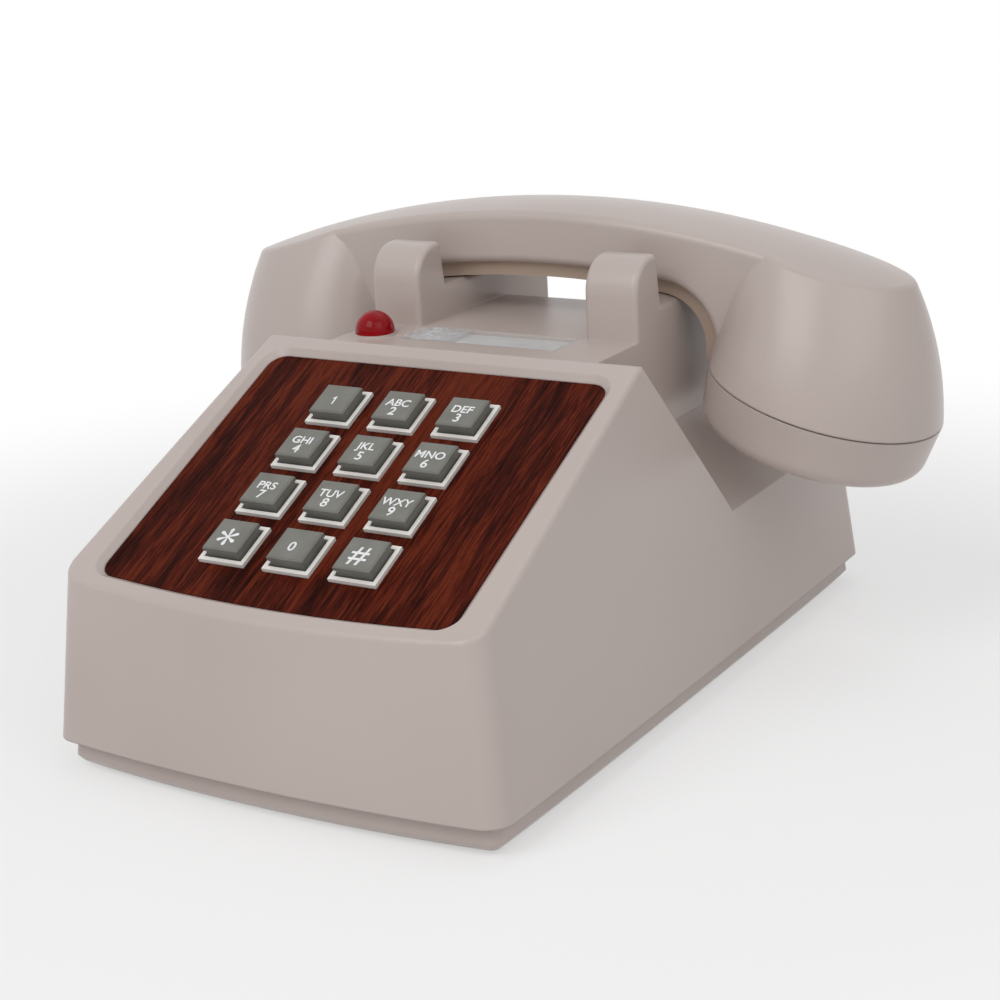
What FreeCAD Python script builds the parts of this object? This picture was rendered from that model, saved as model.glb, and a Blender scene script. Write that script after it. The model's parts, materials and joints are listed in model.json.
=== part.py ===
import FreeCAD, Part
import math
import os
import Sketcher
from FreeCAD import Placement, Rotation, Vector
from types import SimpleNamespace

# Corded desk telephone. Millimetres, +X to the phone's right, +Y to its back, +Z up.
# The origin is on the table under the middle of the base.
SIZES = (
    # Base outline and walls
    ("base_length", "210", "front of the nose to the rear wall, at the rim"),
    ("base_width", "128", "widest, at the rim"),
    ("side_bow", "0.8", "how far each side bulges between its ends"),
    ("front_bow", "4", "how far the front bulges between its corners"),
    ("front_corner", "7", "radius of the upright front corners"),
    ("rear_corner", "6", "radius of the upright rear corners"),
    ("side_draft", "6.6", "lean of the sides, degrees"),
    ("end_draft", "4.4", "lean of the front and rear, degrees"),
    ("shell_wall", "2.8", "thickness of the housing"),
    ("rim_level", "8.2", "lower rim of the housing"),
    ("edge_round", "1.5", "rounding of the housing's outer edges"),
    # Sloping front, deck and notches
    ("plate_tilt", "25.5", "slope of the front, degrees"),
    ("nose_level", "47.7", "height of the slope's front edge"),
    ("ridge_setback", "91.5", "front of the nose to the ridge behind the slope"),
    ("deck_drop", "2", "deck below the ridge"),
    ("notch_angle", "51", "fall of the edge behind the ridge, degrees"),
    ("cheek_half", "39.8", "middle to the upright wall of each notch"),
    ("shoulder_level", "63.2", "where the upright wall meets the sloping shoulder"),
    ("shoulder_angle", "45", "fall of the shoulder, degrees"),
    ("floor_back", "10", "deck's rear edge behind the handset's middle"),
    ("valley_run", "18", "length of the slope behind the deck"),
    # Cradle
    ("handset_y", "47.9", "middle of the handset behind the origin"),
    ("ear_inner", "24.9", "middle to the inner face of each cradle wall"),
    ("ear_depth", "13.4", "thickness of each ear, front to back"),
    ("ear_rise", "10.3", "top of the ears above the handle's underside"),
    ("ear_round", "9", "rounding of the top of each ear"),
    ("slot_low", "21.3", "half the cradle slot at the handle's underside"),
    ("slot_high", "22.58", "half the cradle slot at the top of the ears"),
    ("cradle_gap", "0.4", "cradle below the resting handle"),
    # Base pan and feet
    ("pan_inset", "3.4", "base pan inside the housing's rim"),
    ("pan_floor", "2.5", "thickness of the base pan's floor"),
    ("pan_wall", "2.2", "thickness of the base pan's wall"),
    ("pan_lip", "4.4", "lip of the base pan inside the housing"),
    ("pan_edge", "1.6", "bevel round the base pan's lower edge"),
    ("foot_height", "1.4", "rubber foot below the base pan"),
    ("foot_radius", "7", "rubber foot"),
    ("foot_side", "20", "middle of a foot inside the base's side"),
    ("foot_end", "19", "middle of a foot inside the base's end"),
    ("pan_screw_side", "11", "housing screw inside the base's side"),
    ("pan_screw_end", "41", "housing screw inside the base's end"),
    ("boss_radius", "4.5", "screw boss"),
    ("boss_hole", "14", "depth of a screw hole in a boss"),
    ("boss_bite", "11.2", "housing screw's hold in its boss"),
    ("slip", "0.2", "gap between pieces that slide together in assembly"),
    # Screws
    ("screw_radius", "1.5", "shank of the screws"),
    ("screw_head", "2.8", "radius of a screw's head"),
    ("screw_head_height", "1.6", "height of a screw's head"),
    ("screw_fit", "0.05", "gap round a screw's shank"),
    # Faceplate and keypad, measured along the slope
    ("keypad_run", "48.2", "slope's front edge to the keypad's middle"),
    ("bezel_side", "14.85", "faceplate's side edges inside the base's sides"),
    ("plate_up", "43", "keypad's middle to the faceplate's upper edge"),
    ("plate_down", "40.4", "keypad's middle to the faceplate's lower corners"),
    ("plate_bow", "2.1", "bulge of the faceplate's lower edge"),
    ("plate_corner", "4.5", "faceplate's corner radius"),
    ("plate_thickness", "1.6", "faceplate"),
    ("plate_recess", "1.5", "faceplate below the bezel"),
    ("bevel_width", "1.6", "sloping edge of the bezel round the faceplate"),
    ("ledge_width", "7", "ledge that carries the faceplate"),
    ("ledge_thickness", "2", "ledge"),
    ("ledge_hole", "1.5", "depth of a screw hole in the ledge"),
    ("ledge_bite", "1", "keypad screw's hold in the ledge"),
    ("pitch_across", "18.4", "key spacing across"),
    ("pitch_along", "16.7", "key spacing along the slope"),
    ("key_size", "10.1", "key, square"),
    ("key_rise", "3.6", "top of a key above the faceplate"),
    ("key_bevel", "0.4", "bevel round a key's top"),
    ("key_slab", "1.4", "thickness of a key's top"),
    ("key_neck", "0.35", "key's stem inside its top"),
    ("key_gap", "0.3", "gap round a key"),
    ("key_travel", "2.2", "a key's stroke"),
    ("key_lip", "1", "retaining lip at a key's foot"),
    ("collar_wall", "1.1", "wall of a key's collar"),
    ("collar_rise", "0.8", "collar above the faceplate"),
    ("frame_thickness", "2", "flange of the keypad frame"),
    ("frame_margin", "1.5", "flange of the keypad frame inside the faceplate's edges"),
    ("post_size", "6", "square posts from the keypad frame to its board"),
    ("dome_rest", "0.4", "rubber dome left under a pressed key"),
    ("dome_radius", "3.6", "rubber dome under a key"),
    ("mat_thickness", "1", "rubber mat"),
    ("board_thickness", "1.6", "circuit boards"),
    # Lamp and number card on the deck
    ("lamp_x", "-32", "lamp from the middle"),
    ("lamp_shift", "2.15", "lamp behind the middle of the deck's free front"),
    ("lamp_radius", "5.2", "lamp's lens"),
    ("lamp_rise", "5.8", "lens above its boss"),
    ("lamp_bore", "2.9", "bore in the lens above its boss"),
    ("lamp_stem", "3.8", "radius of the lens's stem"),
    ("lamp_boss_rise", "0.5", "boss under the lens"),
    ("lamp_boss_rim", "0.5", "boss past the lens"),
    ("emitter_radius", "2.5", "light emitter in the lamp"),
    ("emitter_shoulder", "1.9", "emitter's straight side above the lens's seat"),
    ("emitter_tip", "2.5", "emitter's tip above the lens's seat"),
    ("emitter_flat", "1.7", "radius of the emitter's tip"),
    ("card_length", "44", "number card"),
    ("card_width", "12", "number card"),
    ("card_thickness", "0.4", "number card"),
    ("card_y", "7", "number card behind the origin"),
    ("card_border", "0.8", "clear window past the card"),
    ("window_thickness", "0.9", "clear window"),
    # Hook switch
    ("plunger_radius", "3.2", "cradle plunger"),
    ("plunger_length", "31", "cradle plunger"),
    ("plunger_fit", "0.08", "gap round a plunger in its guide"),
    ("plunger_collar", "1.4", "collar on a plunger, past its stem"),
    ("plunger_travel", "6", "rise of the plungers"),
    ("guide_length", "14", "plunger's guide in the housing"),
    ("lever_setback", "26", "plunger to the lever's pivot"),
    ("lever_thickness", "2", "hook lever"),
    ("lever_arm", "6", "width of a lever's arm"),
    ("pin_radius", "1.5", "pivot pins"),
    ("pin_fit", "0.05", "gap round a pivot pin"),
    ("barrel_wall", "1.7", "lever's barrel round its pin"),
    ("bracket_half", "18", "half the width of the hook bracket"),
    ("bracket_sheet", "1.5", "sheet of the hook bracket"),
    ("spring_height", "15", "return spring at rest"),
    ("spring_radius", "4.4", "return spring"),
    ("spring_wire", "1", "return spring's wire"),
    # Ringer
    ("gong_radius", "17", "gong"),
    ("gong_height", "9", "gong"),
    ("gong_sheet", "1.4", "gong"),
    ("gong_x", "22", "gong from the middle"),
    ("gong_setback", "27", "rear wall to the gongs' middle"),
    ("gong_rim", "19", "height of a gong's rim above the table"),
    ("post_radius", "4", "post under a gong"),
    ("clapper_ball", "2.5", "radius of the clapper's ball"),
    ("clapper_arm", "20", "pivot to the clapper's ball"),
    ("clapper_rod", "1", "radius of the clapper's rod"),
    ("coil_radius", "7", "ringer coil"),
    ("coil_length", "24", "ringer coil"),
    ("ringer_sheet", "2", "ringer's base plate"),
    # Volume wheel
    ("wheel_radius", "11.4", "volume wheel"),
    ("wheel_width", "4", "volume wheel"),
    ("wheel_side", "20", "volume wheel inside the base's side"),
    ("wheel_y", "26", "volume wheel behind the origin"),
    ("wheel_show", "0.9", "wheel below the base pan"),
    ("wheel_gap", "0.5", "gap beside the wheel"),
    # Main board
    ("main_length", "72", "main board"),
    ("main_width", "76", "main board"),
    ("main_setback", "11", "front of the nose to the main board"),
    ("standoff_height", "8.5", "main board above the base pan's floor"),
    ("standoff_radius", "3", "posts under the main board"),
    ("standoff_inset", "4", "posts inside the main board's edges"),
    ("standoff_bite", "6.8", "board screw's hold in its post"),
    ("can_radius", "4.5", "transformer and large capacitor"),
    ("small_can", "3.2", "radius of the small capacitors"),
    # Modular jacks
    ("jack_width", "12", "jack, across"),
    ("jack_height", "11", "jack, upright"),
    ("jack_length", "13", "jack, along its socket"),
    ("line_socket", "9.8", "line jack's socket, across"),
    ("handset_socket", "7.8", "handset jack's socket, across"),
    ("socket_height", "6.8", "sockets, upright"),
    ("socket_depth", "10", "sockets"),
    ("jack_level", "13", "underside of the jacks in the base"),
    ("side_jack_y", "-44", "jack in the left wall behind the origin"),
    ("jack_recess", "1", "face of a jack inside the wall's outer face"),
    # Handset
    ("grip_level", "98.5", "handle's underside at its middle"),
    ("arch_radius", "284.6", "arch of the handle's top"),
    ("handle_width", "29", "handle, front to back"),
    ("handle_depth", "15.3", "handle's sides, top to seam"),
    ("strip_depth", "3.8", "grip cover below the seam"),
    ("strip_width", "22.6", "grip cover, front to back"),
    ("leg_x", "51.4", "middle to the inner edge of each handset end"),
    ("bend_radius", "17", "bend from the handle to each end"),
    ("crown_round", "2.2", "rounding of the handle's long edges"),
    ("crown_bow", "60", "radius of the handset's top, front to back"),
    ("handset_wall", "3", "thickness of the handset's shell"),
    ("capsule_x", "75.9", "middle to the centre of each cap's seam"),
    ("capsule_drop", "46.7", "handle's top to the centre of each cap's seam"),
    ("capsule_tilt", "16.8", "lean of the caps, degrees"),
    ("seam_radius", "31.1", "cap's seam"),
    ("seam_gap", "0.35", "seam between a cap and the shell"),
    ("dome_mid", "17", "height of the end's middle section above the seam"),
    ("dome_mid_reach", "25", "end's middle section, outwards"),
    ("dome_mid_width", "25.2", "end's middle section, half its width"),
    ("dome_mid_inner", "31", "end's middle section, inwards"),
    ("dome_top", "37.6", "height of the end's top section above the seam"),
    ("dome_top_reach", "11.5", "end's top section, outwards"),
    ("dome_top_width", "12.4", "end's top section, half its width"),
    ("dome_top_inner", "33", "end's top section, inwards"),
    ("mouth_radius", "25", "threaded mouth for a cap"),
    ("mouth_depth", "6", "threaded mouth for a cap"),
    ("hollow_top", "24", "top of the hollow above the seam"),
    ("hollow_radius", "15.5", "top of the hollow"),
    ("cap_depth", "14.6", "cap below the seam"),
    ("cap_rim", "29.4", "cap's lower rim"),
    ("cap_round", "4.5", "rounding of the cap's rim"),
    ("cap_wall", "2.8", "thickness of a cap"),
    ("cap_hole", "1.4", "sound holes"),
    ("cap_hole_ring", "7", "ring of sound holes"),
    ("capsule_radius", "22.5", "receiver and transmitter capsules"),
    ("capsule_height", "9", "receiver and transmitter capsules"),
    ("capsule_back", "18", "radius of a capsule's rear step"),
    ("ballast_length", "46", "ballast weight in the handle"),
    ("ballast_width", "14", "ballast weight in the handle"),
    ("ballast_height", "6", "ballast weight in the handle"),
    ("handset_jack_x", "102.5", "middle to the face of the handset's jack"),
    ("handset_jack_drop", "32.6", "handle's top to the top of the handset's jack"),
)

doc = FreeCAD.newDocument("desk_telephone")
sheet = doc.addObject("Spreadsheet::Sheet", "sizes")
for row, (alias, value, note) in enumerate(SIZES, start=1):
    sheet.set(f"A{row}", note)
    sheet.set(f"B{row}", value)
    sheet.setAlias(f"B{row}", alias)
doc.recompute()


class Size(float):
    """A size with the sheet formula that gives it."""

    def __new__(cls, value, formula=None):
        size = super().__new__(cls, value)
        size.formula = formula if formula else repr(round(float(value), 9))
        return size

    def __add__(self, other):
        return joined(self, "+", other, float(self) + float(other))

    def __radd__(self, other):
        return joined(other, "+", self, float(other) + float(self))

    def __sub__(self, other):
        return joined(self, "-", other, float(self) - float(other))

    def __rsub__(self, other):
        return joined(other, "-", self, float(other) - float(self))

    def __mul__(self, other):
        return joined(self, "*", other, float(self) * float(other))

    def __rmul__(self, other):
        return joined(other, "*", self, float(other) * float(self))

    def __truediv__(self, other):
        return joined(self, "/", other, float(self) / float(other))

    def __neg__(self):
        return joined(0, "-", self, -float(self))


def formula(value):
    return value.formula if isinstance(value, Size) else Size(value).formula


def joined(left, sign, right, value):
    return Size(value, f"({formula(left)} {sign} {formula(right)})")


def sine(angle):
    return Size(math.sin(math.radians(angle)), f"sin({formula(angle)})")


def cosine(angle):
    return Size(math.cos(math.radians(angle)), f"cos({formula(angle)})")


def tangent(angle):
    return Size(math.tan(math.radians(angle)), f"tan({formula(angle)})")


def root(value):
    return Size(math.sqrt(value), f"sqrt({formula(value)})")


s = SimpleNamespace(**{alias: Size(sheet.get(alias), f"sizes.{alias}") for alias, value, note in SIZES})

# Places worked out from the sizes
front_y = -s.base_length / 2
rear_y = s.base_length / 2
side_x = s.base_width / 2
foot_x = side_x - s.foot_side
foot_y = rear_y - s.foot_end
pan_screw_x = side_x - s.pan_screw_side
pan_screw_y = rear_y - s.pan_screw_end
plate_width = s.base_width - 2 * s.bezel_side
main_front = front_y + s.main_setback
gong_y = rear_y - s.gong_setback
wheel_x = side_x - s.wheel_side
pan_level = s.foot_height
pan_top = pan_level + s.pan_floor
screw_seat = pan_level + s.screw_head_height
nose_y = front_y + (s.nose_level - s.rim_level) * tangent(s.end_draft)
ridge_y = front_y + s.ridge_setback
ridge_level = s.nose_level + (ridge_y - nose_y) * tangent(s.plate_tilt)
deck_level = ridge_level - s.deck_drop
slope_wall = s.plate_recess + s.plate_thickness + s.ledge_thickness
keypad_y = nose_y + s.keypad_run * cosine(s.plate_tilt) + s.plate_recess * sine(s.plate_tilt)
keypad_z = s.nose_level + s.keypad_run * sine(s.plate_tilt) - s.plate_recess * cosine(s.plate_tilt)
seam_line_level = s.grip_level + s.strip_depth
crown_level = seam_line_level + s.handle_depth
arch_z = crown_level - s.arch_radius
ear_top = s.grip_level + s.ear_rise
cradle_front = s.handset_y - s.slot_low - s.ear_depth
lamp_y = (ridge_y + cradle_front) / 2 + s.lamp_shift
seam_z = crown_level - s.capsule_drop
plunger_x = (s.ear_inner + s.cheek_half) / 2
under_radius = s.arch_radius - s.handle_depth - s.strip_depth
plunger_edge = plunger_x + s.plunger_radius
plunger_top = arch_z + root(under_radius * under_radius - plunger_edge * plunger_edge) - s.cradle_gap
lever_top = plunger_top - s.plunger_length - s.cradle_gap
lever_y = s.handset_y - s.lever_setback
screw_hole = s.screw_radius + s.screw_fit
REACH = float(s.base_length + s.base_width)
UP = Vector(0, 0, 1)
DIAGONAL = math.sqrt(0.5)
NEAR = 0.01

nodes = {}


def bind(thing, name, value):
    thing.setExpression(name, formula(value))


def place(thing, x=0, y=0, z=0, tilt=0, axis="1; 0; 0"):
    spin = f"rotation(vector({axis}); {formula(tilt)})"
    spot = f"vector({formula(x)}; {formula(y)}; {formula(z)})"
    thing.setExpression("Placement", f"placement({spot}; {spin})")


def keep(label, thing):
    thing.Label = label
    nodes[label] = thing
    return thing


def draw(body, role, outlines, circles=(), level=0):
    """Fully dimensioned sketch of closed outlines and circles on one of the body's own planes."""
    plane = next(item for item in body.Origin.OriginFeatures if item.Role == role)
    sketch = body.newObject("Sketcher::SketchObject", f"{body.Name}_sketch")
    sketch.AttachmentSupport = [(plane, "")]
    sketch.MapMode = "FlatFace"
    bind(sketch, "AttachmentOffset.Base.z", level)

    def fix(kind, geometry, point, value):
        number = sketch.addConstraint(Sketcher.Constraint(kind, -1, 1, geometry, point, float(value)))
        bind(sketch, f"Constraints[{number}]", value)

    for outline in outlines:
        first = sketch.GeometryCount
        for here, there in zip(outline, outline[1:] + outline[:1]):
            sketch.addGeometry(Part.LineSegment(Vector(*here), Vector(*there)))
        for index in range(len(outline)):
            following = first + (index + 1) % len(outline)
            sketch.addConstraint(Sketcher.Constraint("Coincident", first + index, 2, following, 1))
        for index, (across, along) in enumerate(outline):
            fix("DistanceX", first + index, 1, across)
            fix("DistanceY", first + index, 1, along)
    for across, along, radius in circles:
        number = sketch.addGeometry(Part.Circle(Vector(across, along, 0), UP, float(radius)))
        fix("DistanceX", number, 3, across)
        fix("DistanceY", number, 3, along)
        datum = sketch.addConstraint(Sketcher.Constraint("Radius", number, float(radius)))
        bind(sketch, f"Constraints[{datum}]", radius)
    return sketch


def new_body(label):
    return keep(label, doc.addObject("PartDesign::Body", label))


def pad(body, outlines, low, high, circles=()):
    feature = body.newObject("PartDesign::Pad", f"{body.Name}_pad")
    feature.Profile = draw(body, "XY_Plane", outlines, circles, low)
    bind(feature, "Length", high - low)
    return feature


def pocket(body, outlines, high, depth, circles=()):
    feature = body.newObject("PartDesign::Pocket", f"{body.Name}_pocket")
    feature.Profile = draw(body, "XY_Plane", outlines, circles, high)
    bind(feature, "Length", depth)
    return feature


def turn(body, profile):
    feature = body.newObject("PartDesign::Revolution", f"{body.Name}_turn")
    sketch = draw(body, "XZ_Plane", [profile])
    feature.Profile = sketch
    feature.ReferenceAxis = (sketch, ["V_Axis"])
    feature.Angle = 360
    return feature


def soften(body, kind, measure, size, wanted):
    """Fillet or chamfer on the edges of the body's last feature that the test picks."""
    doc.recompute()
    base = body.Tip
    names = [f"Edge{n}" for n, edge in enumerate(base.Shape.Edges, start=1) if wanted(edge)]
    feature = body.newObject(f"PartDesign::{kind}", f"{body.Name}_{kind.lower()}")
    feature.Base = (base, names)
    bind(feature, measure, size)
    return feature


def rectangle(x0, x1, y0, y1):
    return [(x0, y0), (x1, y0), (x1, y1), (x0, y1)]


def square(x, y, size):
    return rectangle(x - size / 2, x + size / 2, y - size / 2, y + size / 2)


def box(name, x0, x1, y0, y1, z0, z1):
    solid = doc.addObject("Part::Box", name)
    bind(solid, "Length", x1 - x0)
    bind(solid, "Width", y1 - y0)
    bind(solid, "Height", z1 - z0)
    place(solid, x0, y0, z0)
    return solid


def rod_x(name, x0, x1, y, z, radius):
    solid = doc.addObject("Part::Cylinder", name)
    bind(solid, "Radius", radius)
    bind(solid, "Height", x1 - x0)
    place(solid, x0, y, z, 90, "0; 1; 0")
    return solid


def rod_z(name, x, y, z0, z1, radius):
    solid = doc.addObject("Part::Cylinder", name)
    bind(solid, "Radius", radius)
    bind(solid, "Height", z1 - z0)
    place(solid, x, y, z0)
    return solid


def fused(label, solids):
    whole = doc.addObject("Part::MultiFuse", label)
    whole.Shapes = solids
    return whole


def less(label, solid, tools):
    rest = doc.addObject("Part::Cut", label)
    rest.Base = solid
    rest.Tool = tools[0] if len(tools) == 1 else fused(f"{label}_tools", tools)
    return rest


def shaped(label, shape):
    thing = keep(label, doc.addObject("Part::Feature", label))
    thing.Shape = shape
    thing.Placement = shape.Placement
    return thing


def screw(x, y, z, length, down=True):
    """Pan-head screw whose head seats at z; its shank points down, or up."""
    way = -UP if down else UP
    seat = Vector(x, y, z)
    head = Part.makeCylinder(s.screw_head, s.screw_head_height, seat, -way)
    return head.fuse(Part.makeCylinder(s.screw_radius, length, seat, way)).removeSplitter()


def prism_x(points, x0, x1):
    face = Part.Face(Part.makePolygon([Vector(x0, y, z) for y, z in points + points[:1]]))
    return face.extrude(Vector(x1 - x0, 0, 0))


def prism_y(points, y0, y1):
    face = Part.Face(Part.makePolygon([Vector(x, y0, z) for x, z in points + points[:1]]))
    return face.extrude(Vector(0, y1 - y0, 0))


def block(x0, x1, y0, y1, z0, z1):
    return Part.makeBox(x1 - x0, y1 - y0, z1 - z0, Vector(x0, y0, z0))


def crossing(line, other):
    """Point where two lines meet, each given as a point and an angle in degrees."""
    (y0, z0), turn0 = line
    (y1, z1), turn1 = other
    run0 = (math.cos(math.radians(turn0)), math.sin(math.radians(turn0)))
    run1 = (math.cos(math.radians(turn1)), math.sin(math.radians(turn1)))
    scale = ((y1 - y0) * run1[1] - (z1 - z0) * run1[0]) / (run0[0] * run1[1] - run0[1] * run1[0])
    return y0 + scale * run0[0], z0 + scale * run0[1]


def under_path(depth):
    """Edges of the handset's underside, at a distance below the seam along the handle."""
    radius = s.arch_radius - s.handle_depth - depth
    leg = s.leg_x - depth
    bend = s.bend_radius - depth
    bend_x = s.leg_x - s.bend_radius
    spoke = s.arch_radius - s.handle_depth - s.bend_radius
    bend_z = arch_z + math.sqrt(spoke ** 2 - bend_x ** 2)
    meet = Vector(bend_x, 0, bend_z - arch_z) * float(radius / spoke) + Vector(0, 0, arch_z)
    half = Vector(bend_x / spoke + 1, 0, (bend_z - arch_z) / spoke).normalize()
    knee = Vector(bend_x, 0, bend_z) + half * float(bend)
    ankle = Vector(leg, 0, bend_z)
    other = [Vector(-point.x, 0, point.z) for point in (meet, knee, ankle)]
    return ankle, [
        Part.Arc(other[2], other[1], other[0]).toShape(),
        Part.Arc(other[0], Vector(0, 0, arch_z + radius), meet).toShape(),
        Part.Arc(meet, knee, ankle).toShape(),
    ]


def through_handle(edges, corners, half_width):
    """Solid from edges and straight runs through corners, across the handset's middle plane."""
    ends = [edges[-1].Vertexes[-1].Point] + corners + [edges[0].Vertexes[0].Point]
    runs = [Part.LineSegment(a, b).toShape() for a, b in zip(ends, ends[1:])]
    face = Part.Face(Part.Wire(edges + runs))
    face.translate(Vector(0, s.handset_y - half_width, 0))
    return face.extrude(Vector(0, 2 * half_width, 0))


def above_underside(depth):
    """Space above the handset's underside, down to the bends."""
    ankle, edges = under_path(depth)
    corners = [Vector(ankle.x, 0, REACH), Vector(-ankle.x, 0, REACH)]
    return through_handle(edges, corners, s.handle_width)


def plan(inset, level):
    """Outline of the base at a level, moved inwards."""
    side = s.base_width / 2 - inset - (level - s.rim_level) * tangent(s.side_draft)
    corner = side - s.side_bow
    end = inset + (level - s.rim_level) * tangent(s.end_draft)
    nose = Vector(0, front_y + end, level)
    front_right = Vector(corner, front_y + end + s.front_bow, level)
    front_left = Vector(-corner, front_y + end + s.front_bow, level)
    rear_right = Vector(corner, rear_y - end, level)
    rear_left = Vector(-corner, rear_y - end, level)
    return Part.Wire([
        Part.Arc(front_left, nose, front_right).toShape(),
        Part.Arc(front_right, Vector(side, 0, level), rear_right).toShape(),
        Part.LineSegment(rear_right, rear_left).toShape(),
        Part.Arc(rear_left, Vector(-side, 0, level), front_left).toShape(),
    ])


def base_block(inset, low, high):
    """Block with the base's outline and rounded upright corners."""
    solid = Part.makeLoft([plan(inset, low), plan(inset, high)], True, True)
    rise = (high - low) / 2
    upright = [edge for edge in solid.Edges if abs(edge.Vertexes[0].Z - edge.Vertexes[-1].Z) > rise]
    front = [edge for edge in upright if edge.CenterOfMass.y < 0]
    rear = [edge for edge in upright if edge.CenterOfMass.y > 0]
    return solid.makeFillet(s.front_corner - inset, front).makeFillet(s.rear_corner - inset, rear)


def cradle_wall(inset):
    """Right cradle wall with a front and a rear ear; inset gives the hollow inside it."""
    x0 = s.ear_inner + inset
    x1 = s.cheek_half - inset
    low = s.shoulder_level - s.boss_hole
    front = cradle_front + inset
    back = 2 * s.handset_y - front
    top = ear_top - inset
    bend = s.ear_round - inset
    tip = bend * (1 - DIAGONAL)
    points = [
        Vector(x0, front, low), Vector(x0, front, top - bend), Vector(x0, front + tip, top - tip),
        Vector(x0, front + bend, top), Vector(x0, back - bend, top), Vector(x0, back - tip, top - tip),
        Vector(x0, back, top - bend), Vector(x0, back, low),
    ]
    edges = [
        Part.LineSegment(points[0], points[1]).toShape(),
        Part.Arc(points[1], points[2], points[3]).toShape(),
        Part.LineSegment(points[3], points[4]).toShape(),
        Part.Arc(points[4], points[5], points[6]).toShape(),
        Part.LineSegment(points[6], points[7]).toShape(),
        Part.LineSegment(points[7], points[0]).toShape(),
    ]
    wall = Part.Face(Part.Wire(edges)).extrude(Vector(x1 - x0, 0, 0))
    widening = (s.slot_high - s.slot_low) / s.ear_rise
    half_low = s.slot_low + inset - widening * s.strip_depth
    high = s.grip_level + 2 * s.ear_rise
    low = s.grip_level - s.bend_radius
    half_foot = half_low - widening * s.bend_radius
    half_high = s.slot_low + inset + widening * 2 * s.ear_rise
    mid = s.handset_y
    slot = prism_x([(mid - half_foot, low), (mid + half_foot, low), (mid + half_high, high),
                    (mid - half_high, high)], 0, REACH)
    return wall.cut(slot.common(above_underside(s.strip_depth + s.cradle_gap + inset)))


def mirrored(shape):
    return shape.mirror(Vector(0, 0, 0), Vector(1, 0, 0))


def shell_form(inset, slope_inset):
    """The housing's outside, or with insets its hollow."""
    low = s.rim_level - inset
    slope = ((nose_y + slope_inset * sine(s.plate_tilt), s.nose_level - slope_inset * cosine(s.plate_tilt)),
             s.plate_tilt)
    back = ((ridge_y - inset * sine(s.notch_angle), ridge_level - inset * cosine(s.notch_angle)),
            -s.notch_angle)
    wedge = prism_x([(-REACH, 0), crossing(slope, ((-REACH, 0), 90)), crossing(slope, back),
                     crossing(back, ((0, 0), 0))], -REACH, REACH)
    brow = s.cheek_half - inset * tangent(s.shoulder_angle / 2)
    brow_level = s.shoulder_level - inset
    eaves = brow_level - REACH * tangent(s.shoulder_angle)
    shoulder = prism_y([(-brow - REACH, eaves), (-brow, brow_level), (brow, brow_level),
                        (brow + REACH, eaves)], ridge_y - s.ear_depth, REACH)
    skirt = base_block(inset, low, ridge_level + s.ear_rise)
    floor_y = s.handset_y + s.floor_back
    fall = math.degrees(math.atan2(deck_level - s.shoulder_level, s.valley_run))
    valley_y = floor_y - inset * math.sin(math.radians(fall))
    valley_z = deck_level - inset * math.cos(math.radians(fall))
    valley = ((valley_y, valley_z), -fall)
    roof = ((0, deck_level - inset), 0)
    foot = s.shoulder_level - s.ear_depth
    tower = prism_x([(ridge_y, foot), (ridge_y, deck_level - inset), crossing(valley, roof),
                     crossing(valley, ((0, foot), 0))], inset - s.cheek_half, s.cheek_half - inset)
    wall = cradle_wall(inset)
    body = skirt.common(wedge.fuse(shoulder))
    return body.fuse([tower, wall, mirrored(wall)]).removeSplitter()


def sharp_edges(solid, wanted):
    """Outward edges of a solid whose middle the test picks: a small ball there is mostly outside."""
    inside_share = 0.45
    picked = []
    for edge in solid.Edges:
        middle = edge.valueAt((edge.FirstParameter + edge.LastParameter) / 2)
        if wanted(middle):
            ball = Part.makeSphere(s.edge_round / 5, middle)
            if ball.common(solid).Volume < inside_share * ball.Volume:
                picked.append(edge)
    return picked


def in_cradle(point):
    along = abs(point.y - s.handset_y) < s.handset_y - cradle_front + s.edge_round
    across = abs(point.x) < s.cheek_half + s.edge_round
    return along and across and point.z > s.shoulder_level - s.edge_round


def on_front(point):
    return point.z > s.rim_level + s.edge_round and point.y < ridge_y + s.edge_round


def on_rear(point):
    behind = point.y > rear_y - s.ear_depth and abs(point.x) < s.ear_inner
    return behind and point.z > s.shoulder_level - s.edge_round


def on_slope(shape):
    shape.Placement = Placement(Vector(0, keypad_y, keypad_z), Rotation(Vector(1, 0, 0), float(s.plate_tilt)))
    return shape


def plate_face(grow, level):
    """Outline of the faceplate on the slope, with a bowed lower edge and rounded corners."""
    half = plate_width / 2 + grow
    up = s.plate_up + grow
    down = -s.plate_down - grow
    bend = s.plate_corner + grow
    tip = bend * (1 - DIAGONAL)
    spots = [
        Vector(half - bend, up, level), Vector(half - tip, up - tip, level),
        Vector(half, up - bend, level), Vector(half, down + bend, level),
        Vector(half - tip, down + tip, level), Vector(half - bend, down, level),
    ]
    left = [Vector(-spot.x, spot.y, level) for spot in spots]
    return Part.Wire([
        Part.LineSegment(left[0], spots[0]).toShape(), Part.Arc(*spots[0:3]).toShape(),
        Part.LineSegment(spots[2], spots[3]).toShape(), Part.Arc(*spots[3:6]).toShape(),
        Part.Arc(spots[5], Vector(0, down - s.plate_bow, level), left[5]).toShape(),
        Part.Arc(left[5], left[4], left[3]).toShape(), Part.LineSegment(left[3], left[2]).toShape(),
        Part.Arc(left[2], left[1], left[0]).toShape(),
    ])


def plate_block(grow, low, high):
    return Part.Face(plate_face(grow, low)).extrude(Vector(0, 0, high - low))


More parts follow.
